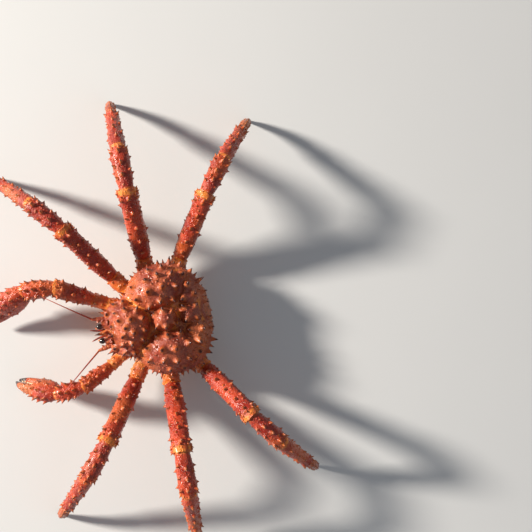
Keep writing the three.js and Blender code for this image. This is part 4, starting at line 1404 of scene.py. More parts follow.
@dataclass
class Breast:
    """The pale plate under the back, with a socket for each limb."""

    outline: tuple[tuple[float, float], ...] = ((0, -60), (20, -58), (31, -46), (39, -22), (45, 6), (43, 34),
                                                (32, 52), (0, 57))
    socket_depth: float = 26.0
    bevel: float = 6.0
    middle_y: float = -2.0
    # Where the top, the upright side and the lower edge's round end, as shares of the way over the plate
    top_end: float = 0.1
    wall_end: float = 0.3
    corner_end: float = 0.38

    def build(self) -> None:
        """Builds the breast."""
        piece = Piece("breast_plate")
        self.plate(piece)
        self.granules(piece)
        self.mouth(piece)
        for root in ROOTS.values():
            for side in Side:
                self.socket(piece, root, side)
        piece.make(UNDERSIDE, "breast")

    def plate(self, piece: Piece) -> None:
        """Adds the plate, its lower edge round and its underside grooved between the limbs.

        Args:
            piece: The piece that it joins.
        """
        form = globe(180, 92)
        run = form.ring / form.rings
        edge = ClosedCurve.mirrored(self.outline, (1, 1)).at((form.turn / (2 * math.pi)) % 1.0)
        middle = np.array((0, self.middle_y))
        reach = np.linalg.norm(edge - middle, axis=1)
        lower = run >= self.wall_end
        corner = np.clip((run - self.wall_end) / (self.corner_end - self.wall_end), 0, 1) * math.pi / 2
        floor = np.clip((run - self.corner_end) / (1 - self.corner_end), 0, 1)
        round_inset = (1 - self.bevel / reach * (1 - np.cos(corner))) * (1 - floor)
        inset = np.where(lower, round_inset, np.minimum(1, run / self.top_end))
        down = np.clip((run - self.top_end) / (self.wall_end - self.top_end), 0, 1)
        side_z = BREAST_TOP_Z - (BREAST_TOP_Z - BREAST_Z - self.bevel) * down
        z = np.where(lower, BREAST_Z + self.bevel * (1 - np.sin(corner)), side_z)
        place = middle + (edge - middle) * inset[:, None]
        groove = self.grooves(place)
        dished = 1.6 * smooth(26, 4, np.abs(place[:, 0])) * (1 - smooth(0.9, 1.0, 1 - floor))
        points = np.column_stack((place, z + np.where(lower, (3.0 * groove + dished) * np.sin(corner), 0)))
        points[:, 2] += np.where(lower, 0.35 * ripple(points, 9.0) * np.sin(corner), 0)
        pale = 1 - 0.75 * smooth(BREAST_Z + 8, BREAST_TOP_Z - 4, points[:, 2])
        # the furrows carry DEEP, which the underside's dark groove colour turns into painted shade
        piece.add(form, points, {Mask.PALE: pale, Mask.DEEP: np.where(lower, groove * 0.9, 0)})

    def grooves(self, place: np.ndarray) -> np.ndarray:
        """0 on the plate to 1 in the furrows that run out between the limbs.

        Args:
            place: Places in plan.

        Returns:
            How deep each lies in a furrow.
        """
        made = np.exp(-(place[:, 0] / 1.4) ** 2) * 0.6
        for y, slope in ((-38, -0.5), (-10, -0.15), (19, 0.15), (43, 0.6)):
            away = place[:, 1] - (y + slope * np.abs(place[:, 0]) * 0.5)
            made = np.maximum(made, np.exp(-(away / 1.9) ** 2) * smooth(6, 14, np.abs(place[:, 0])))
        return made

    def granules(self, piece: Piece) -> None:
        """Adds granules round the plate's upright side.

        Args:
            piece: The piece that it joins.
        """
        low, high = (0.0, BREAST_Z + 9), (1.0, BREAST_TOP_Z - 2)
        growth = Growth(PIMPLE, 520, 3.2, low, high, (0.4, 0.7), (1.0, 0.8))
        skin = Wall(ClosedCurve.mirrored(self.outline, (1, 1)))
        growth.scatter(piece, skin, Chance(271), masks={Mask.SPINE: 0.35, Mask.PALE: 0.35})

    def mouth(self, piece: Piece) -> None:
        """Adds the jaws, the small palps over them, and the ridges that frame the mouth.

        Args:
            piece: The piece that it joins.
        """
        knob(piece, np.array((0.0, -60.5, 61.0)), (13.0, 3.4, 3.6), {Mask.PALE: 0.15})
        Spike(5.0, 2.4, root=2.0).add(piece, np.array((0.0, -62.5, 60.0)), np.array((0.0, -1.0, -0.35)))
        for side in Side:
            x = side.value
            knob(piece, np.array((3.7 * x, -60.8, 40.5)), (4.0, 4.0, 6.6), {Mask.PALE: 0.9})
            knob(piece, np.array((2.3 * x, -64.0, 37.8)), (1.6, 1.5, 3.4), {Mask.HORN: 0.85})
            root = np.array((4.6 * x, -58.5, 53.0))
            knee = root + direction(side, 88, -10) * 12.5
            down = direction(side, 106, -60)
            upper = limb(root, knee, ((0, 3.1, 2.5), (0.5, 3.3, 2.7), (1, 2.5, 2.1)), start_gap=0, end_gap=0)
            lower = limb(knee - down * 2, knee + down * 10, ((0, 2.4, 2.0), (0.5, 2.1, 1.8), (1, 0.9, 0.8)),
                         start_gap=0, end_gap=0)
            for skin in (upper, lower):
                skin.cover(piece, 20, tip_stops(14, 1.5, 0.8), {Mask.PALE: 0.2})
            ridge = limb(np.array((15.5 * x, -58.5, 64.0)), np.array((21.0 * x, -56.0, 36.0)),
                         ((0, 2.6, 2.2), (0.4, 3.4, 3.0), (0.8, 2.6, 2.4), (1, 1.2, 1.2)), bow=2.5,
                         up=AHEAD, start_gap=0, end_gap=0)
            ridge.cover(piece, 20, tip_stops(24, 1.0, 0.5),
                        {Mask.PALE: lambda share, scale, angle: 0.1 + 0.6 * share})
            growth = Growth(THORNLET, 60, 2.8, (0.1, -80), (0.95, 80), (0.8, 1.2), (1.4, 0.0))
            growth.scatter(piece, ridge, Chance(877 + side.value))

    def socket(self, piece: Piece, root: Root, side: Side) -> None:
        """Adds one socket, ending in a rim with the limb's soft skin inside.

        Args:
            piece: The piece that it joins.
            root: Where the limb leaves the breast.
            side: The side of the body.
        """
        end = root.place(side) - root.way(side) * (GAP / 2)
        start = end - root.way(side) * self.socket_depth
        rings = [(0, root.radius * 0.8, root.radius * 0.8), (0.8, root.radius, root.radius),
                 (1, root.radius * 0.96, root.radius * 0.96)]
        skin = limb(start, end, rings, start_gap=0, end_gap=0)
        rim = [(1, 0.99, 0.4), (1, 0.95, 0.7), (1, 0.9, 0.5), (1, 0.87, 0), (1, 0.84, -2), (1, 0, -2)]
        stops = [(0, 0, 0), *over_length(12), *rim]
        skin.cover(piece, 36, stops, {Mask.PALE: 0.8, Mask.SOFT: in_the_joint})


# Abdomen


@dataclass(frozen=True)
class Station:
    """A cross-section of the tail."""

    y: float
    z: float
    width: float
    thick: float
    tilt: float


@dataclass
class Plated(Ringed):
    """A run of plates: each lies over the next, and furrows part its middle from its sides."""

    seams: tuple[float, ...] = ()
    furrow_share: float = 0.55
    depth: float = 1.1
    notch: float = 4.5

    def furrow(self, u: np.ndarray, v: np.ndarray) -> np.ndarray:
        """0 on a plate to 1 in a furrow.

        Args:
            u: Share of the length of each place.
            v: Its angle, in degrees.

        Returns:
            One value for each place.
        """
        across = np.abs(squared(np.sin(np.radians(v))))
        bowed = self.furrow_share - 0.1 * u
        long = np.exp(-((across - bowed) / 0.028) ** 2)
        seam = np.zeros(len(u))
        for share in self.seams:
            seam = np.maximum(seam, np.exp(-((u - share + 0.02 * across) / 0.012) ** 2))
        return np.maximum(long, seam) * (np.cos(np.radians(v)) > 0.05)

    def at(self, u: np.ndarray, v: np.ndarray) -> np.ndarray:
        """Places on the plates.

        Args:
            u: Share of the length of each place.
            v: Its angle, in degrees.

        Returns:
            The places.
        """
        u = np.clip(u, 0, 1)
        points = super().at(u, v)
        ends = np.array((0.0, *self.seams, 1.0))
        k = np.clip(np.searchsorted(ends, u, side="right") - 1, 0, len(ends) - 2)
        run = (u - ends[k]) / (ends[k + 1] - ends[k])
        rise = np.where(np.cos(np.radians(v)) > 0.05, 0.8 * run - 0.4 - self.depth * self.furrow(u, v), 0.0)
        outward = squared(np.sin(np.radians(v)))
        notched = self.notch * (1 - np.sin(math.pi * np.clip(run, 0, 1)) ** 0.4)
        drawn = notched * outward * np.abs(outward) ** 2
        uppers, acrosses = self.between(self.uppers, u), self.between(self.acrosses, u)
        return points + uppers * rise[:, None] - acrosses * drawn[:, None]


@dataclass
class Abdomen:
    """The tail: short plates behind the back, and a flap folded flat against the breast."""

    base: tuple[Station, ...] = (
        Station(68, 66, 33, 4.5, -90), Station(77, 54, 36, 5, -70), Station(80, 42, 36, 5, -100),
        Station(75, 31, 34, 4.8, -140))
    flap: tuple[Station, ...] = (
        Station(75, 31, 33, 4.6, -140), Station(60, 25, 32, 4.4, -172), Station(36, 24.6, 30, 4.4, -180),
        Station(12, 24.6, 24, 4.2, -180), Station(-8, 24.8, 15, 4, -180), Station(-20, 25.4, 5, 3, -180))

    def build(self) -> None:
        """Builds both pieces."""
        base = self.skin(self.base, 0, GAP / 2, (0.3, 0.66))
        flap = self.skin(self.flap, GAP / 2, 0, (0.2, 0.38, 0.55, 0.72, 0.87))
        self.plates("abdomen_base", base, 90, BACK_SHELL, 0.1)
        self.plates("abdomen_flap", flap, 70, UNDERSIDE, 0.8)

    def skin(self, stations: Sequence[Station], start_gap: float, end_gap: float,
             seams: tuple[float, ...]) -> Plated:
        """The surface of a run of plates.

        Args:
            stations: Its cross-sections.
            start_gap: How far its start stands off what is before it.
            end_gap: How far its end stops short.
            seams: Shares of the length where one plate ends.

        Returns:
            The surface.
        """
        centres, uppers, normals = [], [], []
        for i, station in enumerate(stations):
            tilt = math.radians(station.tilt)
            ahead = np.array((0, math.cos(tilt), math.sin(tilt)))
            shift = start_gap if i == 0 else -end_gap if i == len(stations) - 1 else 0
            centres.append(np.array((0, station.y, station.z)) + ahead * shift)
            normals.append(ahead)
            uppers.append(np.cross((1, 0, 0), ahead))
        count = len(stations)
        acrosses = np.tile((1.0, 0, 0), (count, 1))
        thicks, widths = (np.array([getattr(s, key) for s in stations]) for key in ("thick", "width"))
        return Plated(np.linspace(0, 1, count), np.array(centres), np.array(uppers), acrosses,
                      np.array(normals), thicks, widths, np.zeros(3), 0.25, seams=seams)

    def plates(self, node: str, skin: Plated, growth: int, finish: Finish, pale: float) -> None:
        """Builds a run of plates, with thorns along their edges and granules over them.

        Args:
            node: The node that it stands for.
            skin: Its surface.
            growth: Tries at granules on each side.
            finish: Its finish.
            pale: How pale it is.
        """
        piece = Piece(f"{node}_plates")
        stops: Stops = [(0, 0, 0), (0, 0.9, 0)]
        for first, last in zip((0.0, *skin.seams), (*skin.seams, 1.0)):
            for t in (0.02, 0.07, 0.14, 0.26, 0.38, 0.5, 0.62, 0.74, 0.84, 0.91, 0.96, 0.985):
                stops.append((first + (last - first) * t, 0.955 + 0.05 * math.sin(t * math.pi * 0.85), 0))
            stops.append((first + (last - first) * 0.995, 0.95, 0))
        stops += [(1, 0.9, 0), (1, 0, 0)]
        # on the flap, whose finish is the underside's, the furrows' DEEP value is painted shade; on the base
        # it is an orange tint
        furrows = {Mask.PALE: pale, Mask.DEEP: lambda share, scale, angle: 0.8 * skin.furrow(share, angle)}
        skin.cover(piece, 160, stops, furrows)
        chance = Chance(417 + growth)
        across = (-58, -44, -17, 0, 17, 44, 58)
        edges = [(seam - 0.05, angle) for seam in (*skin.seams, 0.99) for angle in across]
        thorns = np.array(edges) + (chance.many(2 * len(edges)).reshape(-1, 2) - 0.5) * (0.02, 6.0)
        tall = (3.2 if pale < 0.5 else 1.4) * (0.7 + 0.6 * chance.many(len(thorns)))
        LEG_THORN.grow(piece, skin, thorns, tall, np.full(len(thorns), 3.4), {Mask.PALE: pale})
        taken = skin.at(*thorns.T)
        for low, high in ((-72, 72), (110, 250)):
            small = Growth(THORNLET, 3 * growth, 4.2, (0.04, low), (0.96, high), (0.5, 1.1), (1.4, 1.2))
            small.scatter(piece, skin, chance, taken, {Mask.PALE: pale})
        piece.make(finish, node)


# Walking legs


@dataclass(frozen=True)
class LegPose:
    """How a walking leg stands."""

    scale: float
    swing: tuple[float, float, float, float, float]
    merus_rise: float
    carpus_rise: float


LEG_POSES = {
    "leg1": LegPose(0.96, (34, 36, 40, 43, 44), 40, -4),
    "leg2": LegPose(1.02, (3, 3, 1, 0, 0), 44, -6),
    "leg3": LegPose(0.98, (-30, -33, -37, -41, -43), 41, -6),
}


def scaled(rings: RingTable, scale: float) -> list[tuple[float, float, float]]:
    """A ring table at another size."""
    return [(share, height * scale, width * scale) for share, height, width in rings]


@dataclass
class WalkingLeg:
    """One walking leg of five joints."""

    name: str
    side: Side
    lengths: tuple[float, ...] = (46, 128, 58, 98, 66)
    toe_drop: float = 16.0
    toe_bow: float = 5.5
    turn_swing: float = 2.0
    turn_rise: float = 1.5
    base_rings: RingTable = ((0, 12, 11.8), (0.2, 13, 12.8), (0.42, 11, 11.2), (0.56, 12.4, 12.4),
                             (0.86, 12.8, 12.6), (1, 11.6, 11.6))
    merus_rings: RingTable = ((0, 11, 10.8), (0.12, 14, 12.6), (0.35, 15.8, 13.8), (0.62, 15.2, 13.4),
                              (0.88, 15.2, 13.6), (0.95, 16, 14.4), (1, 13.6, 12.6))
    carpus_rings: RingTable = ((0, 10.4, 10), (0.24, 13, 12), (0.55, 14, 12.6), (0.84, 14.4, 13.2),
                               (1, 12.2, 11.4))
    propodus_rings: RingTable = ((0, 10.2, 9.8), (0.12, 12.8, 11.4), (0.4, 12.4, 10.8), (0.7, 11, 9.6),
                                 (0.92, 10.6, 9.6), (1, 9.2, 8.2))
    dactylus_rings: RingTable = ((0, 7.4, 6.8), (0.13, 9, 7.8), (0.35, 8, 6.8), (0.58, 6.4, 5.4),
                                 (0.8, 4.4, 3.8), (1, 1.9, 1.7))
    merus_spines: RowTable = ((0, 5, 0.16, 0.93, 9, 3.2), (48, 4, 0.22, 0.9, 7, 2.8),
                              (-48, 4, 0.3, 0.92, 7, 2.8), (95, 2, 0.3, 0.8, 5.5, 2.5),
                              (-95, 2, 0.4, 0.84, 5.5, 2.5))
    carpus_spines: RowTable = ((0, 3, 0.3, 0.86, 9.5, 3), (45, 3, 0.24, 0.84, 7, 2.6),
                               (-45, 2, 0.4, 0.84, 7, 2.6), (92, 2, 0.4, 0.8, 5, 2.3),
                               (-92, 2, 0.35, 0.75, 5, 2.3))
    propodus_spines: RowTable = ((0, 4, 0.16, 0.9, 7.5, 2.8), (52, 3, 0.24, 0.86, 6, 2.5),
                                 (-52, 3, 0.3, 0.85, 6, 2.5), (100, 2, 0.3, 0.7, 5, 2.3))

    def joints(self) -> tuple[list[np.ndarray], list[np.ndarray], float]:
        """The source's joints: places, directions and scale, with the toe just under the floor.

        Returns:
            Places, directions and scale.
        """
        pose, root = LEG_POSES[self.name], ROOTS[self.name]
        lengths = [length * pose.scale for length in self.lengths]

        def walk(drop: float) -> tuple[list[np.ndarray], list[np.ndarray]]:
            """Joints for one drop of the fourth piece.

            Args:
                drop: Its angle over the horizon, in degrees.

            Returns:
                Places and directions.
            """
            merus_rise = pose.merus_rise + self.side.value * self.turn_rise
            rises = (root.elevation, merus_rise, pose.carpus_rise, drop, drop - self.toe_drop)
            ways = [direction(self.side, swing + (self.side.value * self.turn_swing if i else 0), rise)
                    for i, (swing, rise) in enumerate(zip(pose.swing, rises))]
            points = [root.place(self.side)]
            for way, length in zip(ways, lengths):
                points.append(points[-1] + way * length)
            return points, ways

        low, high = -88.0, 0.0
        for _ in range(40):
            middle = (low + high) / 2
            if walk(middle)[0][5][2] > -FOOT_SINK:
                high = middle
            else:
                low = middle
        points, ways = walk((low + high) / 2)
        return points, ways, pose.scale

    def build(self) -> None:
        """Builds the five joints."""
        chance = Chance(31 * ord(self.name[3]) + self.side.value)
        points, ways, scale = self.joints()
        normals = [ways[0]] + [unit(a + b) for a, b in zip(ways, ways[1:])]
        label = f"{self.name}_{self.side.label}"

        def part(i: int, rings: RingTable, bow: float = 0.0) -> Ringed:
            """The surface of one joint, counted from the body; its middle may rise."""
            end, gap = (normals[i + 1], GAP / 2) if i < 4 else (None, 0)
            return limb(points[i], points[i + 1], scaled(rings, scale), normals[i], end, bow, end_gap=gap)

        base = part(0, self.base_rings)
        merus = part(1, self.merus_rings)
        carpus = part(2, self.carpus_rings)
        propodus = part(3, self.propodus_rings)
        dactylus = part(4, self.dactylus_rings, self.toe_bow)
        self.base(f"{label}_base", base)
        self.spiny(f"{label}_merus", merus, 52, self.merus_spines, chance, (90, 520))
        self.spiny(f"{label}_carpus", carpus, 28, self.carpus_spines, chance, (42, 240))
        self.spiny(f"{label}_propodus", propodus, 44, self.propodus_spines, chance, (66, 340))
        self.toe(f"{label}_dactylus", dactylus)

    def base(self, node: str, skin: Ringed) -> None:
        """Builds the short joint at the body, with its seam.

        Args:
            node: The node that it stands for.
            skin: Its surface.
        """
        piece = Piece(f"{node}_shell")
        skin.cover(piece, 44, shell_stops(26, 4, 0.7, 2.5), {
            Mask.SOFT: in_the_joint,
            Mask.DEEP: lambda share, scale, angle: np.exp(-((share - 0.42) / 0.035) ** 2),
            Mask.PALE: lambda share, scale, angle: 0.5 * smooth(100, 150, np.abs(angle)),
        }, lobes=0.9)
        self.condyles(piece, skin)
        growth = Growth(THORNLET, 60, 7.0, (0.1, -120), (0.94, 120), (1.2, 2.4), (2.4, 1.0))
        growth.scatter(piece, skin, Chance(211 + self.side.value))
        piece.make(JOINT_SHELL, node)

    def spiny(self, node: str, skin: Ringed, rings: int, rows: RowTable, chance: Chance,
              growth: tuple[int, int]) -> None:
        """Builds a spiny joint, with a ring of small spines at its rim.

        Args:
            node: The node that it stands for.
            skin: Its surface.
            rings: Rings over its length.
            rows: Its rows of spines.
            chance: The limb's draws.
            growth: Tries at small thorns and at granules.
        """
        piece = Piece(f"{node}_shell")
        skin.cover(piece, 48, shell_stops(rings, 5, 1.0, 3.0), {
            Mask.SOFT: in_the_joint,
            Mask.PALE: lambda share, scale, angle: 0.55 * smooth(115, 165, np.abs(angle)),
            Mask.DEEP: lambda share, *_: 0.8 * (smooth(0.95, 1.0, share) + smooth(0.06, 0.0, share)),
        }, lobes=1.3)
        dress_limb(piece, skin, rows, self.side, chance, *growth)
        self.rim(piece, skin)
        self.condyles(piece, skin)
        piece.make(LEG_SHELL, node)

    def rim(self, piece: Piece, skin: Ringed) -> None:
        """Adds the small spines that stand round the far end of a joint.

        Args:
            piece: The piece that it joins.
            skin: The joint's surface.
        """
        spikes = Spike(3.8, 1.9, sides=8, flare=0.8, root=1.6), Spike(5.4, 2.3, flare=0.9, root=1.8)
        for k, angle in enumerate((-112, -72, -36, 0, 36, 72, 112)):
            at = (np.array([0.962]), np.array([angle + 5.0 * math.sin(5 * k)]))
            place, way = skin.at(*at)[0], skin.ways(*at)[0]
            way = unit(way + skin.lean * 1.1)
            spikes[k % 2].add(piece, place, way, {Mask.DEEP: 0.25})

    def condyles(self, piece: Piece, skin: Ringed) -> None:
        """Adds the knob at each side of a rim that the next joint turns on.

        Args:
            piece: The piece that it joins.
            skin: The joint's surface.
        """
        for angle in (-90.0, 90.0):
            place = skin.at(np.array([0.972]), np.array([angle]))[0]
            inward = unit(skin.middle(np.array([0.972]))[0] - place)
            size = 0.2 * float(skin.widths[-1])
            knob(piece, place + inward * size * 0.35, (size * 1.15, size * 1.15, size), {Mask.DEEP: 0.45})

    def toe(self, node: str, skin: Ringed) -> None:
        """Builds the toe, dark at its tip, standing on its flat.

        Args:
            node: The node that it stands for.
            skin: Its surface.
        """
        piece = Piece(f"{node}_shell")
        stops = np.array(tip_stops(46, 4, 0.0))
        form = tube(32, len(stops) - 2)
        row = stops[form.ring + 1]
        share, scale, push = row.T
        angle = np.degrees(form.turn)
        centre = skin.middle(share)
        fluting = 1 - 0.05 * smooth(0.15, 0.4, share) * (0.5 + 0.5 * np.cos(6 * form.turn))
        points = centre + (skin.at(share, angle) - centre) * (scale * fluting)[:, None]
        points += unit(skin.between(skin.normals, np.clip(share, 0, 1))) * push[:, None]
        points[:, 2] = np.maximum(points[:, 2], 0)
        soft = in_the_joint(share, scale, angle)
        piece.add(form, points, {Mask.HORN: smooth(0.52, 0.86, share), Mask.SOFT: soft})
        chance = Chance(631 + self.side.value)
        for row_angle in (-60, 0, 60):
            shares = np.linspace(0.12, 0.5, 6)
            places = np.column_stack((shares, np.full(6, float(row_angle)) + 8 * (chance.many(6) - 0.5)))
            THORNLET.grow(piece, skin, places, np.linspace(2.6, 1.4, 6), np.linspace(2.4, 1.5, 6))
        piece.make(CLAW_TIP, node)


# Chelipeds


@dataclass(frozen=True)
class ArmPose:
    """How an arm is held."""

    scale: float
    swing: tuple[float, float, float, float]
    rise: tuple[float, float, float, float]


ARM_POSES = {
    Side.LEFT: ArmPose(0.92, (60, 66, 88, 118), (4, 26, -6, -34)),
    Side.RIGHT: ArmPose(1.06, (60, 60, 84, 116), (4, 24, -8, -32)),
}


@dataclass
class Cheliped:
    """An arm that ends in a claw; the right one is the heavier crusher."""

    side: Side
    lengths: tuple[float, ...] = (38, 60, 42, 44)
    roll: float = 35.0
    base_rings: RingTable = ((0, 10.6, 10), (0.25, 11.8, 11), (0.5, 9.8, 9.4), (0.65, 10.6, 10),
                             (1, 10, 9.4))
    merus_rings: RingTable = ((0, 9.4, 8.8), (0.2, 12, 10.5), (0.55, 14, 12), (0.88, 14.6, 12.6),
                              (1, 12, 10.6))
    carpus_rings: RingTable = ((0, 9.6, 8.8), (0.3, 13.6, 12.4), (0.65, 15, 13), (0.9, 13.6, 12),
                               (1, 11, 9.6))
    palm_rings: RingTable = ((0, 9.6, 8.8), (0.22, 17, 12.8), (0.6, 20, 14.4), (0.88, 19.6, 13.6),
                             (1, 18, 12.6))
    finger_rings: RingTable = ((0, 7.2, 8.6), (0.15, 7.8, 8.4), (0.45, 6.4, 6.8), (0.75, 4.6, 4.8),
                               (1, 1.8, 1.9))
    merus_spines: RowTable = ((0, 3, 0.3, 0.86, 8.5, 3), (60, 3, 0.35, 0.88, 7.5, 2.8),
                              (-60, 3, 0.3, 0.88, 7.5, 2.8), (110, 2, 0.4, 0.8, 5, 2.4))
    carpus_spines: RowTable = ((0, 3, 0.3, 0.82, 9, 3), (50, 3, 0.25, 0.8, 8.5, 2.9),
                               (-50, 3, 0.3, 0.8, 8, 2.9), (100, 2, 0.35, 0.72, 7, 2.6))
    palm_spines: RowTable = ((0, 3, 0.25, 0.85, 8, 2.9), (40, 3, 0.3, 0.85, 7, 2.6),
                             (-40, 3, 0.3, 0.85, 7, 2.6), (85, 2, 0.4, 0.8, 5, 2.3),
                             (-85, 2, 0.4, 0.8, 5, 2.3))
    finger_length: float = 42.0
    finger_apart: float = 8.9
    finger_close: float = 3.4
    finger_bow: float = 3.2

    def build(self) -> None:
        """Builds the arm's five pieces."""
        pose, root = ARM_POSES[self.side], ROOTS["cheliped"]
        scale = pose.scale
        chance = Chance(71 + self.side.value)
        label = f"cheliped_{self.side.label}"
        ways = [direction(self.side, swing, rise) for swing, rise in zip(pose.swing, pose.rise)]
        points = [root.place(self.side)]
        for way, length in zip(ways, self.lengths):
            points.append(points[-1] + way * length * scale)
        normals = [ways[0]] + [unit(a + b) for a, b in zip(ways, ways[1:])]

        def part(i: int, rings: RingTable) -> Ringed:
            """The surface of one joint."""
            return limb(points[i], points[i + 1], scaled(rings, scale), normals[i], normals[i + 1])

        arm = WalkingLeg("leg1", self.side)
        base, merus, carpus = part(0, self.base_rings), part(1, self.merus_rings), part(2, self.carpus_rings)
        arm.base(f"{label}_base", base)
        arm.spiny(f"{label}_merus", merus, 28, self.merus_spines, chance, (70, 240))
        arm.spiny(f"{label}_carpus", carpus, 24, self.carpus_spines, chance, (60, 200))
        self.hand(label, points, ways[3], normals[3], scale, chance)

    def hand(self, label: str, points: list[np.ndarray], way: np.ndarray, normal: np.ndarray, scale: float,
             chance: Chance) -> None:
        """Builds the palm with its fixed finger, and the moving finger, both with teeth.

        Args:
            label: Start of the nodes' names.
            points: The arm's joints.
            way: The hand's direction.
            normal: The direction that its wrist faces.
            scale: The arm's scale.
            chance: The arm's draws.
        """
        upper = turned(UP, way, -self.side.value * self.roll)
        palm = limb(points[3], points[4], scaled(self.palm_rings, scale), normal, way, up=upper)
        opening = unit(upper - way * (upper @ way))
        knuckle = points[4]

        def finger(sign: int, start: float) -> Ringed:
            """The surface of one finger.

            Args:
                sign: Which side of the opening.
                start: How far past the knuckle it starts.

            Returns:
                The surface.
            """
            first = knuckle + opening * sign * self.finger_apart * scale + way * start
            last = knuckle + way * self.finger_length * scale + opening * sign * self.finger_close * scale
            rings, bow = scaled(self.finger_rings, scale), sign * self.finger_bow
            return limb(first, last, rings, way, bow=bow, up=upper, end_gap=0, relief=0.2)

        fixed, moving = finger(-1, -8 * scale), finger(1, 0)
        horn = {Mask.HORN: lambda share, scale, angle: smooth(0.55, 0.9, share)}
        piece = Piece(f"{label}_palm_shell")
        palm.cover(piece, 52, shell_stops(34, 4, 0.6, 1.5), {Mask.SOFT: in_the_joint})
        fixed.cover(piece, 32, tip_stops(34, 2, 1.0), horn)
        self.teeth(piece, fixed, 0, scale)
        dress_limb(piece, palm, self.palm_spines, self.side, chance, 80, 300)
        piece.make(LEG_SHELL, f"{label}_palm")
        piece = Piece(f"{label}_finger_shell")
        moving.cover(piece, 32, tip_stops(34, 3, 1.0), {**horn, Mask.SOFT: in_the_joint})
        self.teeth(piece, moving, 180, scale)
        growth = Growth(THORNLET, 40, 5.0, (0.06, -90), (0.5, 90), (1.2, 1.6), (2.0, 1.0))
        growth.scatter(piece, moving, Chance(88 + self.side.value))
        piece.make(CLAW_TIP, f"{label}_finger")

    def teeth(self, piece: Piece, skin: Ringed, angle: float, scale: float) -> None:
        """Adds the blunt teeth along a finger's inner edge.

        Args:
            piece: The piece that it joins.
            skin: The finger's surface.
            angle: Where its inner edge lies, in degrees.
            scale: The arm's scale.
        """
        shares = np.linspace(0.3, 0.86, 6)
        places = np.column_stack((shares, np.full(6, angle) + 4 * np.sin(np.arange(6) * 2.1)))
        PIMPLE.grow(piece, skin, places, scale * np.linspace(2.6, 1.3, 6), scale * np.linspace(3.4, 2.0, 6),
                    {Mask.PALE: 0.9})


# Face


def ringed_stops(count: int, waist: float, swell: float, point: float) -> Stops:
    """Rings of a feeler that swells and narrows.

    Args:
        count: How many swellings.
        waist: Its scale between them.
        swell: Its scale on them.
        point: How far its end's middle is pushed out.

    Returns:
        A share, a scale and a push for each ring and for the two ends' middles.
    """
    stops = [(0, 0, 0)]
    for i in range(count):
        stops += [((i + 0.1) / count, waist, 0), ((i + 0.5) / count, swell, 0)]
    return stops + [(1, 0.6, 0), (1, 0, point)]


@dataclass
class Maxilliped:
    """A mouth palp, bent down in front of the mouth."""

    side: Side

    def build(self) -> None:
        """Builds the palp."""
        root = ROOTS["maxilliped"]
        way = root.way(self.side)
        start = root.place(self.side)
        knee = start + way * 20
        down = direction(self.side, 100, -58)
        upper = limb(start, knee, ((0, 5.6, 4.6), (0.5, 6.2, 4.8), (1, 4.4, 3.8)), way, end_gap=0)
        lower = limb(knee - down * 4, knee + down * 17, ((0, 4.2, 3.6), (0.5, 3.9, 3.2), (1, 1.7, 1.5)),
                     start_gap=0, end_gap=0)
        node = f"maxilliped_{self.side.label}"
        piece = Piece(f"{node}_shell")
        upper.cover(piece, 28, tip_stops(18, 3, 1.2), {Mask.SOFT: in_the_joint})
        lower.cover(piece, 24, tip_stops(22, 1.5, 1.0),
                    {Mask.DEEP: lambda share, scale, angle: np.exp(-((share - 0.5) / 0.04) ** 2)})
        chance = Chance(303 + self.side.value)
        growth = Growth(PIMPLE, 40, 3.0, (0.1, -180), (0.9, 180), (0.5, 0.5), (0.9, 0.4))
        for skin in (upper, lower):
            growth.scatter(piece, skin, chance)
        piece.make(JOINT_SHELL, node)


@dataclass
class Eye:
    """An eye on its short stalk."""

    side: Side
    root_x: float = 8.8
    root_z: float = 74.0
    stalk_length: float = 8.0
    eye_length: float = 8.4

    def build(self) -> None:
        """Builds the stalk and the eye."""
        root = np.array((self.side.value * self.root_x, FACE_Y, self.root_z))
        way = direction(self.side, 80, 6)
        end = root + way * self.stalk_length
        stalk = limb(root, end, ((0, 3.4, 3.4), (0.5, 3, 3), (1, 3.3, 3.3)), AHEAD, way,
                     start_gap=GAP, relief=0.12)
        piece = Piece(f"eyestalk_{self.side.label}_shell")
        stops = [(0, 0, 0), (0, 0.9, 0), *over_length(12), (1, 0.95, 0.15), (1, 0.8, 0.1), (1, 0, 0)]
        stalk.cover(piece, 24, stops)
        spike = np.array((0.0, -0.4, 1.0))
        Spike(2.2, 1.0, sides=8, rings=5, flare=0.6, root=1).add(piece, end + np.array((0, 1.5, 2.6)), spike)
        piece.make(BACK_SHELL, f"eyestalk_{self.side.label}")
        rings = ((0, 3.5, 3.5), (0.25, 4.4, 4.4), (0.55, 4.3, 4.3), (0.82, 3, 3), (1, 1.2, 1.2))
        ball = limb(end, end + way * self.eye_length, rings, way, end_gap=0, relief=0.0)
        piece = Piece(f"eye_{self.side.label}_ball")
        ball.cover(piece, 32, [(0, 0, 0.4), (0, 0.8, 0.1), *over_length(22), (1, 0.6, 0.25), (1, 0, 0.35)])
        piece.make(EYE, f"eye_{self.side.label}")


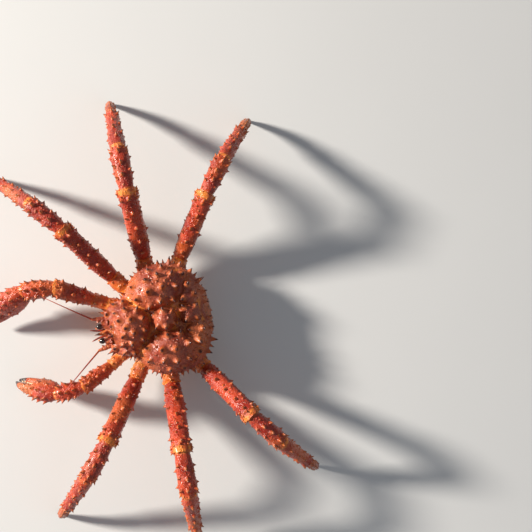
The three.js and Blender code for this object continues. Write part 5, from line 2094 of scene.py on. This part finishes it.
@dataclass
class Antenna:
    """A feeler: a spiny base of short joints and a thin ringed whip."""

    side: Side
    root_x: float = 19.8
    root_z: float = 73.0
    base_length: float = 20.0
    whip_length: float = 78.0
    whip_bow: float = 9.0
    whip_rings: int = 60

    def build(self) -> None:
        """Builds the base and the whip."""
        side = self.side
        chance = Chance(5 + side.value)
        root = np.array((side.value * self.root_x, FACE_Y, self.root_z))
        end = root + direction(side, 78, 8) * self.base_length
        out = direction(side, 52, 14)
        base = limb(root, end, ((0, 4.4, 4), (0.35, 4.2, 3.8), (0.7, 3.1, 3), (1, 2.3, 2.3)),
                    AHEAD, out, start_gap=GAP, relief=0.15)
        piece = Piece(f"antenna_{side.label}_base_shell")
        stops = [(0, 0, 0), (0, 0.9, 0)]
        for share in np.linspace(0, 1, 34):
            seam = max(math.exp(-((share - s) / 0.025) ** 2) for s in (0.32, 0.66))
            stops.append((share, 1 - 0.16 * seam, 0))
        base.cover(piece, 24, stops + [(1, 0.9, 0.1), (1, 0, 0)],
                   {Mask.DEEP: lambda share, scale, angle: np.where(scale < 0.93, 1.0, 0.0)})
        places, heights, radii = spine_rows(((60, 2, 0.25, 0.55, 5.5, 1.7),), side, chance)
        LEG_THORN.grow(piece, base, places, heights, radii * 1.7)
        piece.make(BACK_SHELL, f"antenna_{side.label}_base")
        rings = []
        for i in range(13):
            radius = 1.5 - 1.05 * (i / 12) ** 0.8
            rings.append((i / 12, radius, radius))
        whip = limb(end, end + out * self.whip_length, rings, out, bow=self.whip_bow, end_gap=0, relief=0.0)
        piece = Piece(f"antenna_{side.label}_whip_rings")
        whip.cover(piece, 12, ringed_stops(self.whip_rings, 0.9, 1.02, 0))
        piece.make(FEELER, f"antenna_{side.label}_whip")


@dataclass
class Antennule:
    """A short bent feeler between the eyes."""

    side: Side

    def build(self) -> None:
        """Builds the feeler."""
        root = np.array((self.side.value * 3.6, FACE_Y, 70.2))
        elbow = root + direction(self.side, 84, 6) * 15
        rise = direction(self.side, 74, 38)
        lower = limb(root, elbow, ((0, 2.3, 2.3), (0.5, 1.9, 1.9), (1, 1.6, 1.6)), AHEAD, start_gap=GAP,
                     end_gap=0, relief=0.05)
        upper = limb(elbow - rise * 1.6, elbow + rise * 14, ((0, 1.4, 1.4), (0.6, 1.5, 1.2), (1, 0.6, 0.5)),
                     start_gap=0, end_gap=0, relief=0.0)
        piece = Piece(f"antennule_{self.side.label}_shell")
        lower.cover(piece, 16, [(0, 0, 0), *over_length(12), (1, 0.7, 0.6), (1, 0, 0.8)])
        upper.cover(piece, 14, ringed_stops(14, 0.88, 1.03, 0.3))
        piece.make(FEELER, f"antennule_{self.side.label}")


# Studio


@dataclass(frozen=True)
class Lamp:
    """A round soft light that faces the body, placed by the picture's right, up and back."""

    name: str
    way: tuple[float, float, float]
    away: float
    size: float
    power: float
    colour: Colour

    def hang(self, target: np.ndarray, axes: tuple[np.ndarray, np.ndarray, np.ndarray]) -> None:
        """Hangs the light.

        Args:
            target: The body's middle, in metres.
            axes: The picture's right, up and back.
        """
        data = bpy.data.lights.new(self.name, "AREA")
        data.shape = "DISK"
        data.size, data.energy, data.color = self.size, self.power, self.colour
        way = unit(self.way @ np.array(axes))
        made = bpy.data.objects.new(self.name, data)
        made.location = Vector(target + way * self.away)
        made.rotation_mode = "QUATERNION"
        made.rotation_quaternion = Vector(way).to_track_quat("Z", "Y")
        bpy.context.collection.objects.link(made)


@dataclass(frozen=True)
class Studio:
    """Pale floor, soft light, and a camera at the photograph's viewing angle."""

    picture: float = 532.0
    tilt: float = 0.0
    spin: float = -13.0
    distance: float = 1.3
    sensor: float = 36.0
    lens: float = 58.7
    aim_at: tuple[float, float] = (156.0, 321.0)
    body: tuple[float, float, float] = (0.0, 0.0, 85.0)
    key: Lamp = Lamp("key", (-0.98, 0.24, 0.44), 4.5, 0.6, 435.0, (1.0, 0.94, 0.86))
    fill: Lamp = Lamp("fill", (0.7, -0.5, 1.1), 1.8, 1.6, 3.0, (0.88, 0.93, 1.0))
    sky: Colour = (0.86, 0.91, 1.0)
    sky_strength: float = 0.21

    def build(self) -> None:
        """Builds the studio round the animal."""
        target = metres(np.array(self.body))
        self.camera(target)
        self.floor()
        self.lights(target)

    def axes(self) -> tuple[np.ndarray, np.ndarray, np.ndarray]:
        """The photograph's right, up and back, for a camera that looks straight at the body.

        Returns:
            The three directions.
        """
        tilt, spin = math.radians(self.tilt), math.radians(self.spin)
        back = np.array((0.0, -math.sin(tilt), math.cos(tilt)))
        right = unit(np.array((0.0, 1.0, 0.0)) - back * back[1])
        up = np.cross(back, right)
        cos, sin = math.cos(spin), math.sin(spin)
        return right * cos + up * sin, up * cos - right * sin, back

    def camera(self, target: np.ndarray) -> None:
        """Sets the camera, turned aside so that the body stands where the photograph has it.

        Args:
            target: The body's middle.
        """
        right, up, back = self.axes()
        data = bpy.data.cameras.new("camera")
        data.lens, data.sensor_width = self.lens, self.sensor
        data.clip_start, data.clip_end = 0.05, 20
        focal = self.lens / self.sensor * self.picture
        half = self.picture / 2
        across, down = (self.aim_at[0] - half) / focal, (self.aim_at[1] - half) / focal
        axis = np.cross(unit(right * across - up * down - back), -back)
        angle = math.degrees(math.asin(float(np.linalg.norm(axis))))
        right, up, back = (turned(v, unit(axis), angle) for v in (right, up, back))
        made = bpy.data.objects.new("camera", data)
        bpy.context.collection.objects.link(made)
        turn = Matrix((right, up, back)).transposed()
        eye = target + self.axes()[2] * self.distance
        made.matrix_world = Matrix.Translation(Vector(eye)) @ turn.to_4x4()
        bpy.context.scene.camera = made

    def floor(self) -> None:
        """Lays the floor."""
        bm = bmesh.new()
        bmesh.ops.create_grid(bm, x_segments=2, y_segments=2, size=4.0)
        mesh = bpy.data.meshes.new("studio_floor")
        bm.to_mesh(mesh)
        bm.free()
        material, g = new_material("studio_floor_finish")
        colour = g.mix(g.noise(3.0), (0.70, 0.70, 0.69), (0.74, 0.74, 0.73))
        g.surface({"Base Color": colour, "Roughness": 0.8})
        mesh.materials.append(material)
        floor = bpy.data.objects.new("studio_floor", mesh)
        bpy.context.collection.objects.link(floor)

    def lights(self, target: np.ndarray) -> None:
        """Sets a soft key from the photograph's left, a broad fill and a pale surround.

        Args:
            target: The body's middle.
        """
        for lamp in (self.key, self.fill):
            lamp.hang(target, self.axes())
        world = bpy.data.worlds.new("studio")
        world.use_nodes = True
        background = world.node_tree.nodes["Background"]
        background.inputs["Color"].default_value = (*self.sky, 1.0)
        background.inputs["Strength"].default_value = self.sky_strength
        bpy.context.scene.world = world
        bpy.context.scene.view_settings.view_transform = "Standard"


def main() -> None:
    """Builds the animal and the studio."""
    logging.basicConfig(level=logging.INFO, format="%(message)s")
    LOG.info("the animal's frame lies at %.2f, %.2f mm", *ORIGIN[:2])
    Studio().build()
    Carapace().build()
    Breast().build()
    Abdomen().build()
    for side in Side:
        for kind in (Eye, Antenna, Antennule, Maxilliped, Cheliped):
            kind(side).build()
        for name in LEG_POSES:
            WalkingLeg(name, side).build()


if __name__ == "__main__":
    main()
